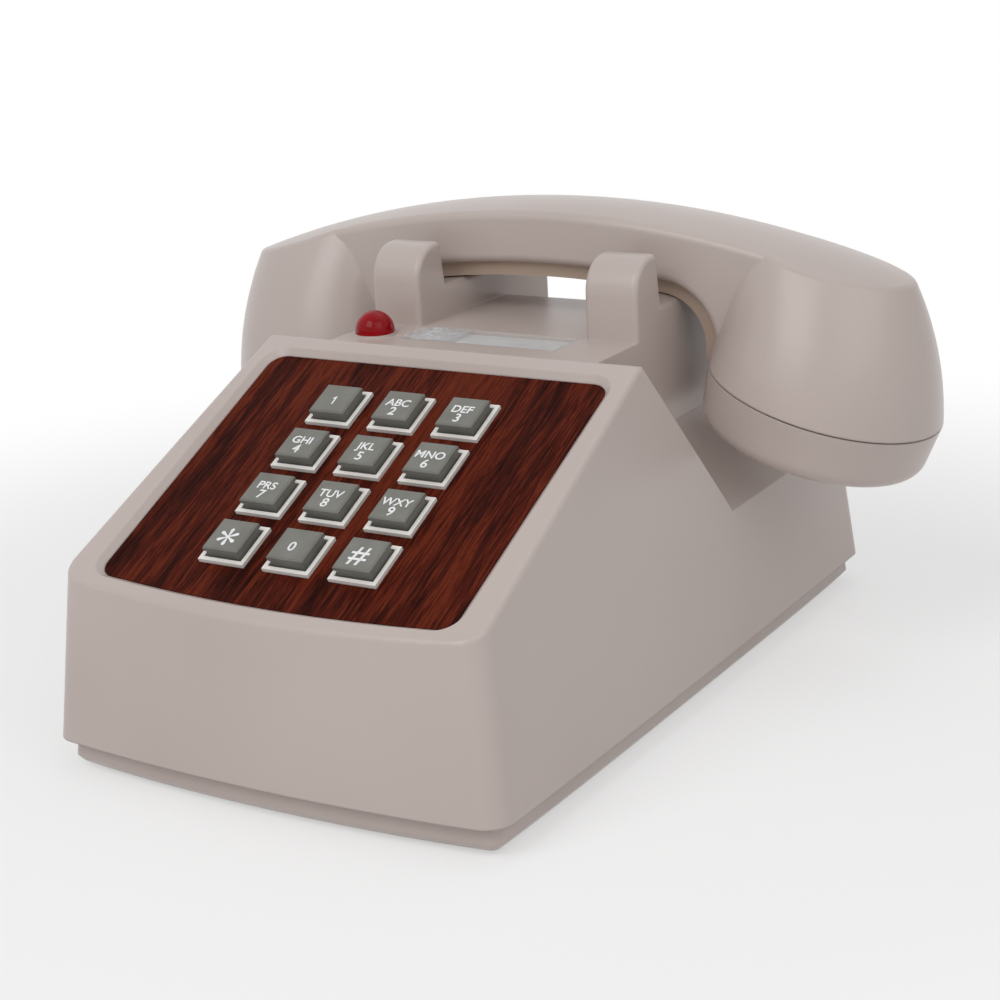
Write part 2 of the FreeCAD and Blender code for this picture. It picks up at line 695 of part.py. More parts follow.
# Keypad: levels are measured from the faceplate's top, along the slope's normal
KEYS = ("1", "2", "3", "4", "5", "6", "7", "8", "9", "star", "0", "hash")
COLUMNS = 3
last_row = len(KEYS) // COLUMNS - 1
key_spots = []
for number in range(len(KEYS)):
    across = (number % COLUMNS - (COLUMNS - 1) / 2) * s.pitch_across
    along = (last_row / 2 - number // COLUMNS) * s.pitch_along
    key_spots.append((across, along))
collar_size = s.key_size + 2 * s.key_gap + 2 * s.collar_wall
ledge_level = -s.plate_thickness - s.ledge_thickness
frame_low = ledge_level - s.frame_thickness
lip_top = frame_low - s.slip
lip_low = lip_top - s.key_lip
dome_tip = lip_low - s.slip
dome_height = s.key_travel + s.dome_rest
mat_top = dome_tip - dome_height
mat_low = mat_top - s.mat_thickness
board_low = mat_low - s.board_thickness
frame_half = plate_width / 2 - s.frame_margin
frame_up = s.plate_up - s.frame_margin
frame_down = s.frame_margin - s.plate_down
screw_inset = s.ledge_width / 2 - s.frame_margin + s.slip
ledge_spots = [(across * (frame_half - screw_inset), along) for across in (-1, 1)
               for along in (frame_down + s.ledge_width, frame_up - s.ledge_width)]
board_half = s.pitch_across + collar_size / 2 + s.post_size
board_up = last_row / 2 * s.pitch_along + collar_size / 2
post_spots = [(across * (board_half - s.post_size / 2), along * (board_up - s.post_size / 2))
              for across in (-1, 1) for along in (-1, 1)]

# Housing
outer = shell_form(0, 0)
for region in (on_front, in_cradle, on_rear):
    outer = outer.makeFillet(s.edge_round, sharp_edges(outer, region))
pan_screws = [(x * pan_screw_x, y * pan_screw_y) for x in (-1, 1) for y in (-1, 1)]
bosses = [Part.makeCylinder(s.boss_radius, REACH, Vector(x, y, pan_top)).common(outer) for x, y in pan_screws]
lamp_seat = deck_level + s.lamp_boss_rise
lamp_boss = Part.makeCylinder(s.lamp_radius + s.lamp_boss_rim, s.lamp_boss_rise + s.shell_wall / 2,
                              Vector(s.lamp_x, lamp_y, deck_level - s.shell_wall / 2))
guides = []
for x in (-plunger_x, plunger_x):
    guide = Part.makeCylinder(s.plunger_radius + s.plunger_collar, s.guide_length + s.cradle_gap,
                              Vector(x, s.handset_y, plunger_top - s.guide_length))
    guides.append(guide.cut(above_underside(s.strip_depth + s.cradle_gap)))
housing = outer.cut(shell_form(s.shell_wall, slope_wall)).fuse(bosses + guides + [lamp_boss])
ledge_half = plate_width / 2 - s.ledge_width
housing_cuts = [
    on_slope(plate_block(s.slip, -s.plate_thickness, s.plate_recess / 2)),
    on_slope(Part.makeLoft([plate_face(s.slip, 0),
                            plate_face(s.slip + 2 * s.bevel_width, 2 * s.plate_recess)], True, True)),
    on_slope(block(-ledge_half, ledge_half, s.ledge_width - s.plate_down, s.plate_up - s.ledge_width,
                   -2 * slope_wall, 0)),
    Part.makeCylinder(s.lamp_stem + s.slip / 2, s.ear_round,
                      Vector(s.lamp_x, lamp_y, deck_level - s.ear_round / 2)),
]
window_depth = s.card_thickness + s.window_thickness
window_half = s.card_length / 2 + s.card_border
window_reach = s.card_width / 2 + s.card_border
room_x = window_half + s.slip
room_y = window_reach + s.slip
housing_cuts.append(block(-room_x, room_x, s.card_y - room_y, s.card_y + room_y, deck_level - window_depth,
                          deck_level + s.ear_rise))
for x, y in pan_screws:
    housing_cuts.append(Part.makeCylinder(screw_hole, s.boss_hole, Vector(x, y, pan_top)))
for x in (-plunger_x, plunger_x):
    housing_cuts.append(Part.makeCylinder(s.plunger_radius + s.plunger_fit, s.plunger_length,
                                          Vector(x, s.handset_y, plunger_top - s.guide_length - s.slip)))
for x, y in ledge_spots:
    hole = Part.makeCylinder(screw_hole, s.ledge_hole, Vector(x, y, ledge_level))
    housing_cuts.append(on_slope(hole))
jack_top = s.jack_level + s.jack_height
line_jack_y = rear_y - (s.jack_level - s.rim_level) * tangent(s.end_draft) - s.jack_recess
side_jack_x = s.side_bow + s.jack_recess - side_x
jack_room = s.jack_width / 2 + s.slip
housing_cuts.append(block(-jack_room, jack_room, rear_y - s.ear_depth, rear_y + s.ear_depth,
                          s.jack_level - s.slip, jack_top + s.slip))
housing_cuts.append(block(side_jack_x - s.ear_depth, side_jack_x + s.ear_depth, s.side_jack_y - jack_room,
                          s.side_jack_y + jack_room, s.jack_level - s.slip, jack_top + s.slip))
shaped("housing", housing.cut(housing_cuts).removeSplitter())

# Base pan: tray with a lip inside the housing, standoffs, jack pedestals and wheel bearings
tray = base_block(s.pan_inset, pan_level, s.rim_level)
lowest = [edge for edge in tray.Edges if edge.BoundBox.ZMax < pan_level + s.pan_edge / 2]
tray = tray.makeChamfer(s.pan_edge, lowest)
tray = tray.fuse(base_block(s.pan_inset, s.rim_level - s.pan_edge, s.rim_level + s.pan_lip))
tray = tray.cut(base_block(s.pan_inset + s.pan_wall, pan_top, s.rim_level + 2 * s.pan_lip))
main_level = pan_top + s.standoff_height
main_half = s.main_width / 2
standoffs = [(x * (main_half - s.standoff_inset), main_front + y) for x in (-1, 1)
             for y in (s.standoff_inset, s.main_length - s.standoff_inset)]
additions = []
for x, y in pan_screws:
    additions.append(Part.makeCylinder(s.boss_radius, s.rim_level - pan_top, Vector(x, y, pan_top)))
for x, y in standoffs:
    additions.append(Part.makeCylinder(s.standoff_radius, s.standoff_height, Vector(x, y, pan_top)))
jack_inner_y = line_jack_y - s.jack_length
jack_inner_x = side_jack_x + s.jack_length
jack_half = s.jack_width / 2
jack_wall = s.shell_wall + s.pan_wall
additions.append(block(-jack_half, jack_half, jack_inner_y, line_jack_y - jack_wall, pan_level, s.jack_level))
additions.append(block(side_jack_x + jack_wall, jack_inner_x, s.side_jack_y - jack_half,
                       s.side_jack_y + jack_half, pan_level, s.jack_level))
wheel_z = pan_level - s.wheel_show + s.wheel_radius
bearing_half = s.wheel_width / 2 + s.wheel_gap
bearing_wall = s.pan_wall
bearing_reach = s.pin_radius + s.barrel_wall
for side in (-1, 1):
    x0 = wheel_x + side * (bearing_half + bearing_wall / 2) - bearing_wall / 2
    additions.append(block(x0, x0 + bearing_wall, s.wheel_y - bearing_reach, s.wheel_y + bearing_reach,
                           pan_level + s.pan_floor / 2, wheel_z + bearing_reach))
cuts = [Part.makeCylinder(screw_hole, s.standoff_height, Vector(x, y, pan_top)) for x, y in standoffs]
for x, y in pan_screws:
    cuts.append(Part.makeCylinder(screw_hole, s.boss_hole, Vector(x, y, 0)))
    cuts.append(Part.makeCylinder(s.screw_head + s.slip, screw_seat, Vector(x, y, 0)))
cuts.append(block(wheel_x - bearing_half, wheel_x + bearing_half, s.wheel_y - s.wheel_radius - s.wheel_gap,
                  s.wheel_y + s.wheel_radius + s.wheel_gap, 0, pan_top))
axle_half = bearing_half + bearing_wall
axle_start = Vector(wheel_x - axle_half - s.slip / 2, s.wheel_y, wheel_z)
cuts.append(Part.makeCylinder(s.pin_radius + s.pin_fit, 2 * axle_half + s.slip, axle_start, Vector(1, 0, 0)))
shaped("base_pan", tray.fuse(additions).cut(cuts).removeSplitter())

# Rubber feet: short tapered studs under the base pan
foot_spots = [Vector(x * foot_x, y * foot_y, 0) for x in (-1, 1) for y in (-1, 1)]
foot_tip = s.foot_radius - s.foot_height / 3
shaped("rubber_feet", Part.makeCompound([
    Part.makeCone(foot_tip, s.foot_radius, s.foot_height, spot) for spot in foot_spots]))
shaped("housing_screws", Part.makeCompound([
    screw(x, y, screw_seat, s.pan_floor + s.boss_bite, False) for x, y in pan_screws]))

# Faceplate with a square hole round each collar
faceplate = plate_block(0, -s.plate_thickness, 0)
hole_half = collar_size / 2 + s.slip
holes = [block(x - hole_half, x + hole_half, y - hole_half, y + hole_half, -2 * s.plate_thickness,
               s.plate_thickness) for x, y in key_spots]
shaped("faceplate", on_slope(faceplate.cut(holes)))

# Keypad frame: flange under the ledge, with a square collar up to each key
frame = new_body("keypad_frame")
pad(frame, [rectangle(-frame_half, frame_half, frame_down, frame_up)], frame_low, ledge_level)
pad(frame, [square(x, y, s.post_size) for x, y in post_spots], mat_low, frame_low)
pad(frame, [square(x, y, collar_size) for x, y in key_spots], ledge_level, s.collar_rise)
pocket(frame, [square(x, y, s.key_size + 2 * s.key_gap) for x, y in key_spots], s.collar_rise,
       s.collar_rise - frame_low)
pocket(frame, [], ledge_level, s.frame_thickness, [(x, y, screw_hole) for x, y in ledge_spots])
pocket(frame, [], ledge_level, ledge_level - mat_low, [(x, y, screw_hole) for x, y in post_spots])
place(frame, 0, keypad_y, keypad_z, s.plate_tilt)
keypad_screws = []
for x, y in ledge_spots:
    keypad_screws.append(on_slope(screw(x, y, frame_low, s.frame_thickness + s.ledge_bite, False)))
for x, y in post_spots:
    keypad_screws.append(on_slope(screw(x, y, board_low, s.board_thickness + dome_height, False)))
shaped("keypad_screws", Part.makeCompound(keypad_screws))

# Keys: square slabs with a softened edge on a narrower stem, and a retaining lip at the foot
slab_low = s.key_rise - s.key_slab
stem_size = s.key_size - 2 * s.key_neck
for name, (across, along) in zip(KEYS, key_spots):
    key = new_body(f"key_{name}")
    pad(key, [square(0, 0, s.key_size)], slab_low, s.key_rise)
    key_top = float(s.key_rise)
    soften(key, "Chamfer", "Size", s.key_bevel,
           lambda edge: min(vertex.Z for vertex in edge.Vertexes) > key_top - NEAR)
    pad(key, [square(0, 0, stem_size)], lip_top, slab_low)
    pad(key, [square(0, 0, collar_size)], lip_low, lip_top)
    place(key, across, keypad_y + along * cosine(s.plate_tilt), keypad_z + along * sine(s.plate_tilt),
          s.plate_tilt)

# Rubber mat with a dome under each key, on the keypad board
mat = new_body("keypad_mat")
mat_half = board_half - s.post_size - s.slip
pad(mat, [rectangle(-mat_half, mat_half, -board_up, board_up)], mat_low, mat_top)
pad(mat, [], mat_top, dome_tip, [(x, y, s.dome_radius) for x, y in key_spots])
place(mat, 0, keypad_y, keypad_z, s.plate_tilt)
board = new_body("keypad_board")
pad(board, [rectangle(-board_half, board_half, -board_up, board_up)], board_low, mat_low)
pocket(board, [], mat_low, s.board_thickness, [(x, y, screw_hole) for x, y in post_spots])
place(board, 0, keypad_y, keypad_z, s.plate_tilt)

# Number card in its recess, under a clear window
card = new_body("number_card")
card_low = deck_level - window_depth
pad(card, [rectangle(-s.card_length / 2, s.card_length / 2, -s.card_width / 2, s.card_width / 2)],
    card_low, card_low + s.card_thickness)
place(card, 0, s.card_y)
window = new_body("card_window")
pad(window, [rectangle(-window_half, window_half, -window_reach, window_reach)],
    card_low + s.card_thickness, deck_level)
place(window, 0, s.card_y)

# Message lamp: hollow domed lens with a stem through the deck, and the emitter in its stem
stem_low = lamp_seat - s.shell_wall - s.ear_round / 2
dome_level = lamp_seat + s.lamp_rise - s.lamp_radius
lens_dome = doc.addObject("Part::Sphere", "lens_dome")
bind(lens_dome, "Radius", s.lamp_radius)
lens_dome.Angle1 = 0
place(lens_dome, s.lamp_x, lamp_y, dome_level)
lens_pieces = [
    lens_dome,
    rod_z("lens_skirt", s.lamp_x, lamp_y, lamp_seat, dome_level, s.lamp_radius),
    rod_z("lens_stem", s.lamp_x, lamp_y, stem_low, lamp_seat, s.lamp_stem),
]
lens_bore = rod_z("lens_bore", s.lamp_x, lamp_y, stem_low, lamp_seat + s.lamp_bore,
                  s.emitter_radius + s.screw_fit)
keep("lamp_lens", less("lamp_lens", fused("lens_whole", lens_pieces), [lens_bore]))
emitter = new_body("lamp_emitter")
emitter_low = -s.shell_wall - s.ear_round
turn(emitter, [(0, emitter_low), (s.emitter_radius, emitter_low), (s.emitter_radius, s.emitter_shoulder),
               (s.emitter_flat, s.emitter_tip), (0, s.emitter_tip)])
place(emitter, s.lamp_x, lamp_y, lamp_seat)

# Main board on its standoffs, with a transformer and capacitors
main = new_body("main_board")
pad(main, [rectangle(-main_half, main_half, main_front, main_front + s.main_length)], main_level,
    main_level + s.board_thickness)
main_top = main_level + s.board_thickness
pocket(main, [], main_top, s.board_thickness, [(x, y, screw_hole) for x, y in standoffs])
parts_y = main_front + s.main_length / 2
can = s.can_radius
core_x = -main_half / 2
shaped("board_parts", Part.makeCompound([
    block(core_x - can, core_x + can, parts_y - can, parts_y + can, main_top, main_top + 2 * can),
    Part.makeCylinder(can, 3 * can, Vector(0, parts_y, main_top)),
    Part.makeCylinder(s.small_can, 2 * can, Vector(main_half / 3, parts_y, main_top)),
    Part.makeCylinder(s.small_can, 2 * can, Vector(main_half * 2 / 3, parts_y, main_top)),
]))
shaped("board_screws", Part.makeCompound([
    screw(x, y, main_top, s.board_thickness + s.standoff_bite) for x, y in standoffs]))

# Plungers: turned studs with a collar, from the cradle down to the hook lever
collar_z = s.plunger_length - s.guide_length - s.plunger_travel - s.plunger_collar
for label, x in (("plunger_left", -plunger_x), ("plunger_right", plunger_x)):
    plunger = new_body(label)
    collar = s.plunger_radius + s.plunger_collar
    turn(plunger, [(0, 0), (s.plunger_radius, 0), (s.plunger_radius, collar_z - s.plunger_collar),
                   (collar, collar_z - s.plunger_collar), (collar, collar_z), (s.plunger_radius, collar_z),
                   (s.plunger_radius, s.plunger_length - s.plunger_collar),
                   (s.plunger_radius - s.plunger_collar / 2, s.plunger_length), (0, s.plunger_length)])
    place(plunger, x, s.handset_y, plunger_top - s.plunger_length)

# Hook lever: barrel on the pivot pin, web over the spring and an arm under each plunger
lever_low = lever_top - s.lever_thickness
barrel = s.pin_radius + s.barrel_wall
pivot_z = lever_low - s.pin_radius
inside = s.bracket_half - s.bracket_sheet
web_half = inside - s.slip
cross_y = lever_y + barrel + s.lever_arm
arm_end = s.handset_y + s.plunger_radius
arm_out = plunger_x + s.lever_arm / 2
lever_pieces = [
    rod_x("lever_barrel", -web_half, web_half, lever_y, pivot_z, barrel),
    box("lever_web", -web_half, web_half, lever_y, s.handset_y, lever_low, lever_top),
    box("lever_cross", -arm_out, arm_out, cross_y, cross_y + s.lever_arm, lever_low, lever_top),
    box("lever_left", -arm_out, -arm_out + s.lever_arm, cross_y, arm_end, lever_low, lever_top),
    box("lever_right", arm_out - s.lever_arm, arm_out, cross_y, arm_end, lever_low, lever_top),
]
lever_bore = rod_x("lever_bore", -s.bracket_half, s.bracket_half, lever_y, pivot_z, s.pin_radius + s.pin_fit)
keep("hook_lever", less("hook_lever", fused("lever_whole", lever_pieces), [lever_bore]))
pivot_pin = rod_x("hook_pivot_pin", -s.bracket_half, s.bracket_half, lever_y, pivot_z, s.pin_radius)
keep("hook_pivot_pin", pivot_pin)

# Hook bracket: bent sheet on the base pan with two uprights and a shelf for spring and switch
shelf_top = lever_low - s.spring_height - s.slip
bracket_front = lever_y - barrel - s.bracket_sheet
bracket_back = lever_y + barrel + s.bracket_sheet
bracket_pieces = [
    box("bracket_base", -s.bracket_half, s.bracket_half, bracket_front, bracket_back, pan_top,
        pan_top + s.bracket_sheet),
    box("bracket_left", -s.bracket_half, -inside, bracket_front, bracket_back, pan_top, pivot_z + barrel),
    box("bracket_right", inside, s.bracket_half, bracket_front, bracket_back, pan_top, pivot_z + barrel),
    box("bracket_shelf", -s.bracket_half, s.bracket_half, bracket_front, s.handset_y,
        shelf_top - s.bracket_sheet, shelf_top),
]
bracket_bore = rod_x("bracket_bore", -side_x, side_x, lever_y, pivot_z, s.pin_radius + s.pin_fit)
bracket_holes = []
for side in (-1, 1):
    bracket_holes.append(rod_z(f"bracket_hole_{side}", side * inside / 2, lever_y, pan_level,
                               pan_top + 2 * s.bracket_sheet, screw_hole))
bracket_whole = fused("bracket_whole", bracket_pieces)
keep("hook_bracket", less("hook_bracket", bracket_whole, [bracket_bore] + bracket_holes))
shaped("bracket_screws", Part.makeCompound([
    screw(side * inside / 2, lever_y, pan_top + s.bracket_sheet, s.bracket_sheet) for side in (-1, 1)]))
spring_y = cross_y + s.lever_arm
coil_out = rod_z("spring_outside", 0, spring_y, shelf_top, shelf_top + s.spring_height, s.spring_radius)
coil_in = rod_z("spring_inside", 0, spring_y, shelf_top, shelf_top + s.spring_height,
                s.spring_radius - s.spring_wire)
keep("hook_spring", less("hook_spring", coil_out, [coil_in]))
switch_x = s.spring_radius + s.lever_thickness
switch_top = lever_low - s.lever_thickness * 2
switch_pieces = [
    box("switch_case", switch_x, switch_x + s.lever_arm, cross_y, s.handset_y, shelf_top, switch_top),
    rod_z("switch_button", switch_x + s.lever_arm / 2, spring_y, switch_top, lever_low - s.slip,
          s.pin_radius / 2),
]
keep("hook_switch", fused("hook_switch", switch_pieces))

# Ringer: base plate with gong posts and clapper post, coil, clapper and two gongs
plate_top = pan_top + s.ringer_sheet
crown_low = s.gong_rim + s.gong_height - s.gong_sheet
clapper_z = s.gong_rim + s.clapper_ball / 2
pivot_y = gong_y - s.clapper_arm
coil_y = pivot_y - s.coil_radius - s.post_radius - s.clapper_ball
coil_z = plate_top + s.coil_radius + s.slip
yoke = s.ringer_sheet
ringer_pieces = [
    box("ringer_bar", -s.gong_x - s.post_radius, s.gong_x + s.post_radius, gong_y - s.post_radius,
        gong_y + s.post_radius, pan_top, plate_top),
    box("ringer_stem", -s.post_radius * 2, s.post_radius * 2, coil_y, gong_y, pan_top, plate_top),
    box("ringer_yoke", -s.coil_length / 2 - yoke, s.coil_length / 2 + yoke, coil_y - s.post_radius,
        coil_y + s.post_radius, pan_top, plate_top),
    rod_z("gong_post_left", -s.gong_x, gong_y, pan_top, crown_low, s.post_radius),
    rod_z("gong_post_right", s.gong_x, gong_y, pan_top, crown_low, s.post_radius),
    rod_z("clapper_post", 0, pivot_y, pan_top, clapper_z + s.post_radius, s.pin_radius),
    rod_z("clapper_seat", 0, pivot_y, pan_top, clapper_z - s.clapper_ball - s.slip,
          s.post_radius - s.barrel_wall / 2),
    box("yoke_left", -s.coil_length / 2 - yoke, -s.coil_length / 2, coil_y - s.post_radius,
        coil_y + s.post_radius, pan_top, coil_z + s.post_radius),
    box("yoke_right", s.coil_length / 2, s.coil_length / 2 + yoke, coil_y - s.post_radius,
        coil_y + s.post_radius, pan_top, coil_z + s.post_radius),
]
bore_top = crown_low + s.gong_sheet
gong_bores = [rod_z(f"gong_bore_{side}", side * s.gong_x, gong_y, pan_top, bore_top, screw_hole)
              for side in (-1, 1)]
keep("ringer_frame", less("ringer_frame", fused("ringer_whole", ringer_pieces), gong_bores))
# The bell curve gives a gong's radius and height from its rim to its crown, as shares of the whole
BELL_CURVE = ((1, 0), (1, 0.5), (0.9, 0.84), (0.62, 1))
coil_half = s.coil_length / 2
keep("ringer_coil", rod_x("ringer_coil", -coil_half, coil_half, coil_y, coil_z, s.coil_radius))
for label, x in (("gong_left", -s.gong_x), ("gong_right", s.gong_x)):
    gong = new_body(label)
    inner_radius = s.gong_radius - s.gong_sheet
    inner_height = s.gong_height - s.gong_sheet
    inner = [(inner_radius * across, inner_height * along) for across, along in BELL_CURVE]
    outer = [(s.gong_radius * across, s.gong_height * along) for across, along in BELL_CURVE]
    turn(gong, [(screw_hole, inner_height)] + inner[::-1] + outer + [(screw_hole, s.gong_height)])
    place(gong, x, gong_y, s.gong_rim)
shaped("gong_screws", Part.makeCompound([
    screw(side * s.gong_x, gong_y, s.gong_rim + s.gong_height, s.gong_height) for side in (-1, 1)]))
clapper_hub = s.pin_radius + s.barrel_wall
ball = doc.addObject("Part::Sphere", "clapper_ball")
bind(ball, "Radius", s.clapper_ball)
place(ball, 0, gong_y, clapper_z)
shank = doc.addObject("Part::Cylinder", "clapper_shank")
bind(shank, "Radius", s.clapper_rod)
bind(shank, "Height", s.clapper_arm)
place(shank, 0, gong_y, clapper_z, 90)
clapper_pieces = [
    ball, shank,
    rod_z("clapper_hub", 0, pivot_y, clapper_z - s.clapper_ball, clapper_z + s.clapper_ball, clapper_hub),
    box("clapper_armature", -s.coil_length / 2, s.coil_length / 2, pivot_y - s.pin_radius / 2,
        pivot_y + s.pin_radius / 2, clapper_z - s.clapper_ball, clapper_z + s.clapper_ball),
]
clapper_bore = rod_z("clapper_bore", 0, pivot_y, pan_top, clapper_z + 2 * s.post_radius,
                     s.pin_radius + s.pin_fit)
keep("clapper", less("clapper", fused("clapper_whole", clapper_pieces), [clapper_bore]))

# Volume wheel: finger wheel that shows through the base pan, on its axle
wheel_rim = rod_x("wheel_rim", wheel_x - s.wheel_width / 2, wheel_x + s.wheel_width / 2, s.wheel_y, wheel_z,
                  s.wheel_radius)
wheel_bore = rod_x("wheel_bore", wheel_x - s.wheel_width, wheel_x + s.wheel_width, s.wheel_y, wheel_z,
                   s.pin_radius + s.pin_fit)
keep("volume_wheel", less("volume_wheel", wheel_rim, [wheel_bore]))
axle = rod_x("wheel_axle", wheel_x - axle_half, wheel_x + axle_half, s.wheel_y, wheel_z, s.pin_radius)
keep("wheel_axle", axle)

# Jacks in the base: blocks with a socket that opens through the wall
mouth_low = s.jack_level + (s.jack_height - s.socket_height) / 2
mouth_high = mouth_low + s.socket_height
line_block = box("line_block", -jack_half, jack_half, jack_inner_y, line_jack_y, s.jack_level, jack_top)
line_mouth = box("line_mouth", -s.line_socket / 2, s.line_socket / 2, line_jack_y - s.socket_depth,
                 line_jack_y + s.jack_length, mouth_low, mouth_high)
keep("line_jack", less("line_jack", line_block, [line_mouth]))
side_block = box("side_block", side_jack_x, jack_inner_x, s.side_jack_y - jack_half,
                 s.side_jack_y + jack_half, s.jack_level, jack_top)
side_mouth = box("side_mouth", side_jack_x - s.jack_length, side_jack_x + s.socket_depth,
                 s.side_jack_y - s.handset_socket / 2, s.side_jack_y + s.handset_socket / 2, mouth_low,
                 mouth_high)
keep("base_handset_jack", less("base_handset_jack", side_block, [side_mouth]))


def in_capsule(shape, side):
    """From the frame of a cap's seam, with its axis up, to its place at the right or left end."""
    lean = Rotation(Vector(0, 1, 0), float(s.capsule_tilt))
    shape.Placement = Placement(Vector(s.capsule_x, s.handset_y, seam_z), lean).multiply(shape.Placement)
    return shape if side > 0 else mirrored(shape)


def oval(height, outwards, inwards, half_width):
    centre = Vector((outwards - inwards) / 2, 0, height)
    ellipse = Part.Ellipse(Vector(outwards, 0, height), centre + Vector(0, half_width, 0), centre)
    return Part.Wire([ellipse.toShape()])


def crown_block(drop):
    """Space under the handset's arched top, which also bows front to back; drop gives the hollow."""
    radius = s.arch_radius - drop
    reach = s.seam_radius + s.handset_wall
    fall = s.crown_bow - root(s.crown_bow * s.crown_bow - reach * reach)
    front = s.handset_y - reach
    back = s.handset_y + reach
    rim = arch_z + radius - fall
    low_front, low_back = Vector(0, front, arch_z), Vector(0, back, arch_z)
    high_front, high_back = Vector(0, front, rim), Vector(0, back, rim)
    outline = Part.Wire([
        Part.Arc(high_front, Vector(0, s.handset_y, arch_z + radius), high_back).toShape(),
        Part.LineSegment(high_back, low_back).toShape(),
        Part.LineSegment(low_back, low_front).toShape(),
        Part.LineSegment(low_front, high_front).toShape(),
    ])
    return Part.Face(outline).revolve(Vector(0, 0, arch_z), Vector(0, 1, 0), 360)


# Handset shell: arched bar with a domed housing at each end, hollow inside
dome = Part.makeLoft([
    Part.Wire([Part.makeCircle(s.seam_radius)]),
    oval(s.dome_mid, s.dome_mid_reach, s.dome_mid_inner, s.dome_mid_width),
    oval(s.dome_top, s.dome_top_reach, s.dome_top_inner, s.dome_top_width)], True, False)
ankle, facet = under_path(0)
bar_corners = [Vector(ankle.x, 0, seam_z), Vector(s.capsule_x, 0, seam_z), Vector(s.capsule_x, 0, REACH),
               Vector(-s.capsule_x, 0, REACH), Vector(-s.capsule_x, 0, seam_z), Vector(-ankle.x, 0, seam_z)]
bar = through_handle(facet, bar_corners, s.handle_width / 2)
below_seam = Part.makeBox(REACH, REACH, REACH, Vector(-s.seam_radius - s.cap_depth, -REACH / 2, -REACH))
solid = bar.fuse([in_capsule(dome.copy(), side) for side in (1, -1)]).common(crown_block(0))
solid = solid.cut([in_capsule(below_seam.copy(), side) for side in (1, -1)]).removeSplitter()
handle_low = float(seam_line_level - s.crown_round)
solid = solid.makeFillet(s.crown_round, sharp_edges(solid, lambda point: point.z > handle_low))


def strip(grow):
    """Grip cover along the underside, from cap to cap; grow gives the room for it."""
    outer_ankle, lower = under_path(s.strip_depth + grow)
    inner_ankle, upper = under_path(-grow)
    lower_face = through_handle(lower, [Vector(outer_ankle.x, 0, seam_z), Vector(s.capsule_x, 0, seam_z),
                                        Vector(s.capsule_x, 0, REACH), Vector(-s.capsule_x, 0, REACH),
                                        Vector(-s.capsule_x, 0, seam_z), Vector(-outer_ankle.x, 0, seam_z)],
                                s.strip_width / 2 + grow)
    around = [Vector(inner_ankle.x, 0, 0), Vector(REACH, 0, 0), Vector(REACH, 0, REACH),
              Vector(-REACH, 0, REACH), Vector(-REACH, 0, 0), Vector(-inner_ankle.x, 0, 0)]
    upper_face = through_handle(upper, around, s.handle_width)
    whole = lower_face.cut(upper_face)
    return whole.cut([in_capsule(below_seam.copy(), side) for side in (1, -1)])


inner_ankle, inner_path = under_path(s.strip_depth / 2)
channel_end = (s.leg_x + s.capsule_x) / 2
channel = through_handle(inner_path, [Vector(channel_end, 0, inner_ankle.z), Vector(channel_end, 0, REACH),
                                      Vector(-channel_end, 0, REACH), Vector(-channel_end, 0, inner_ankle.z)],
                         s.strip_width / 2 - s.handset_wall)
channel = channel.common(crown_block(s.handset_wall))
mouth = Part.makeCylinder(s.mouth_radius, s.mouth_depth + s.seam_gap, Vector(0, 0, -s.seam_gap))
cone = Part.makeCone(s.mouth_radius, s.hollow_radius, s.hollow_top - s.mouth_depth,
                     Vector(0, 0, s.mouth_depth))
hollows = [channel, strip(s.slip / 2)]
for side in (1, -1):
    hollows.append(in_capsule(mouth.copy(), side))
    hollows.append(in_capsule(cone.copy(), side))
socket_top = crown_level - s.handset_jack_drop
jack_face = -s.handset_jack_x
jack_y0 = s.handset_y - s.jack_width / 2
jack_y1 = s.handset_y + s.jack_width / 2
hollows.append(block(-REACH, jack_face + s.jack_length, jack_y0 - s.slip, jack_y1 + s.slip,
                     socket_top - s.jack_height - s.slip, socket_top + s.slip))
pieces = solid.cut(hollows).removeSplitter().Solids
shaped("handset_shell", max(pieces, key=lambda piece: piece.Volume))
shaped("grip_cover", strip(0))

# Caps: screwed cups with a spigot in the shell's mouth and sound holes in the face
spigot = s.mouth_radius - s.slip
RING_HOLES = 6
hole_ring = [(0, 0, s.cap_hole)]
for step in range(RING_HOLES):
    angle = 360 * step / RING_HOLES
    hole_ring.append((s.cap_hole_ring * cosine(angle), s.cap_hole_ring * sine(angle), s.cap_hole))
ENDS = (("receiver_cap", "receiver_capsule", 1), ("transmitter_cap", "transmitter_capsule", -1))
for label, name, side in ENDS:
    cap = new_body(label)
    inner = spigot - s.cap_wall / 2
    turn(cap, [(0, -s.cap_depth), (s.cap_rim, -s.cap_depth), (s.seam_radius, -s.seam_gap),
               (spigot, -s.seam_gap), (spigot, s.mouth_depth - s.slip), (inner, s.mouth_depth - s.slip),
               (inner, s.cap_wall - s.cap_depth), (0, s.cap_wall - s.cap_depth)])
    cap_low = -float(s.cap_depth)
    cap_edge = float(s.cap_rim)
    soften(cap, "Fillet", "Radius", s.cap_round,
           lambda edge: abs(edge.CenterOfMass.z - cap_low) < NEAR and edge.BoundBox.XMax > cap_edge - NEAR)
    pocket(cap, [], s.cap_wall - s.cap_depth, s.cap_wall, hole_ring)
    place(cap, side * s.capsule_x, s.handset_y, seam_z, side * s.capsule_tilt, "0; 1; 0")
    capsule = new_body(name)
    seat = s.cap_wall - s.cap_depth
    turn(capsule, [(0, seat), (s.capsule_radius, seat), (s.capsule_radius, seat + s.capsule_height / 2),
                   (s.capsule_back, seat + s.capsule_height / 2), (s.capsule_back, seat + s.capsule_height),
                   (0, seat + s.capsule_height)])
    place(capsule, side * s.capsule_x, s.handset_y, seam_z, side * s.capsule_tilt, "0; 1; 0")

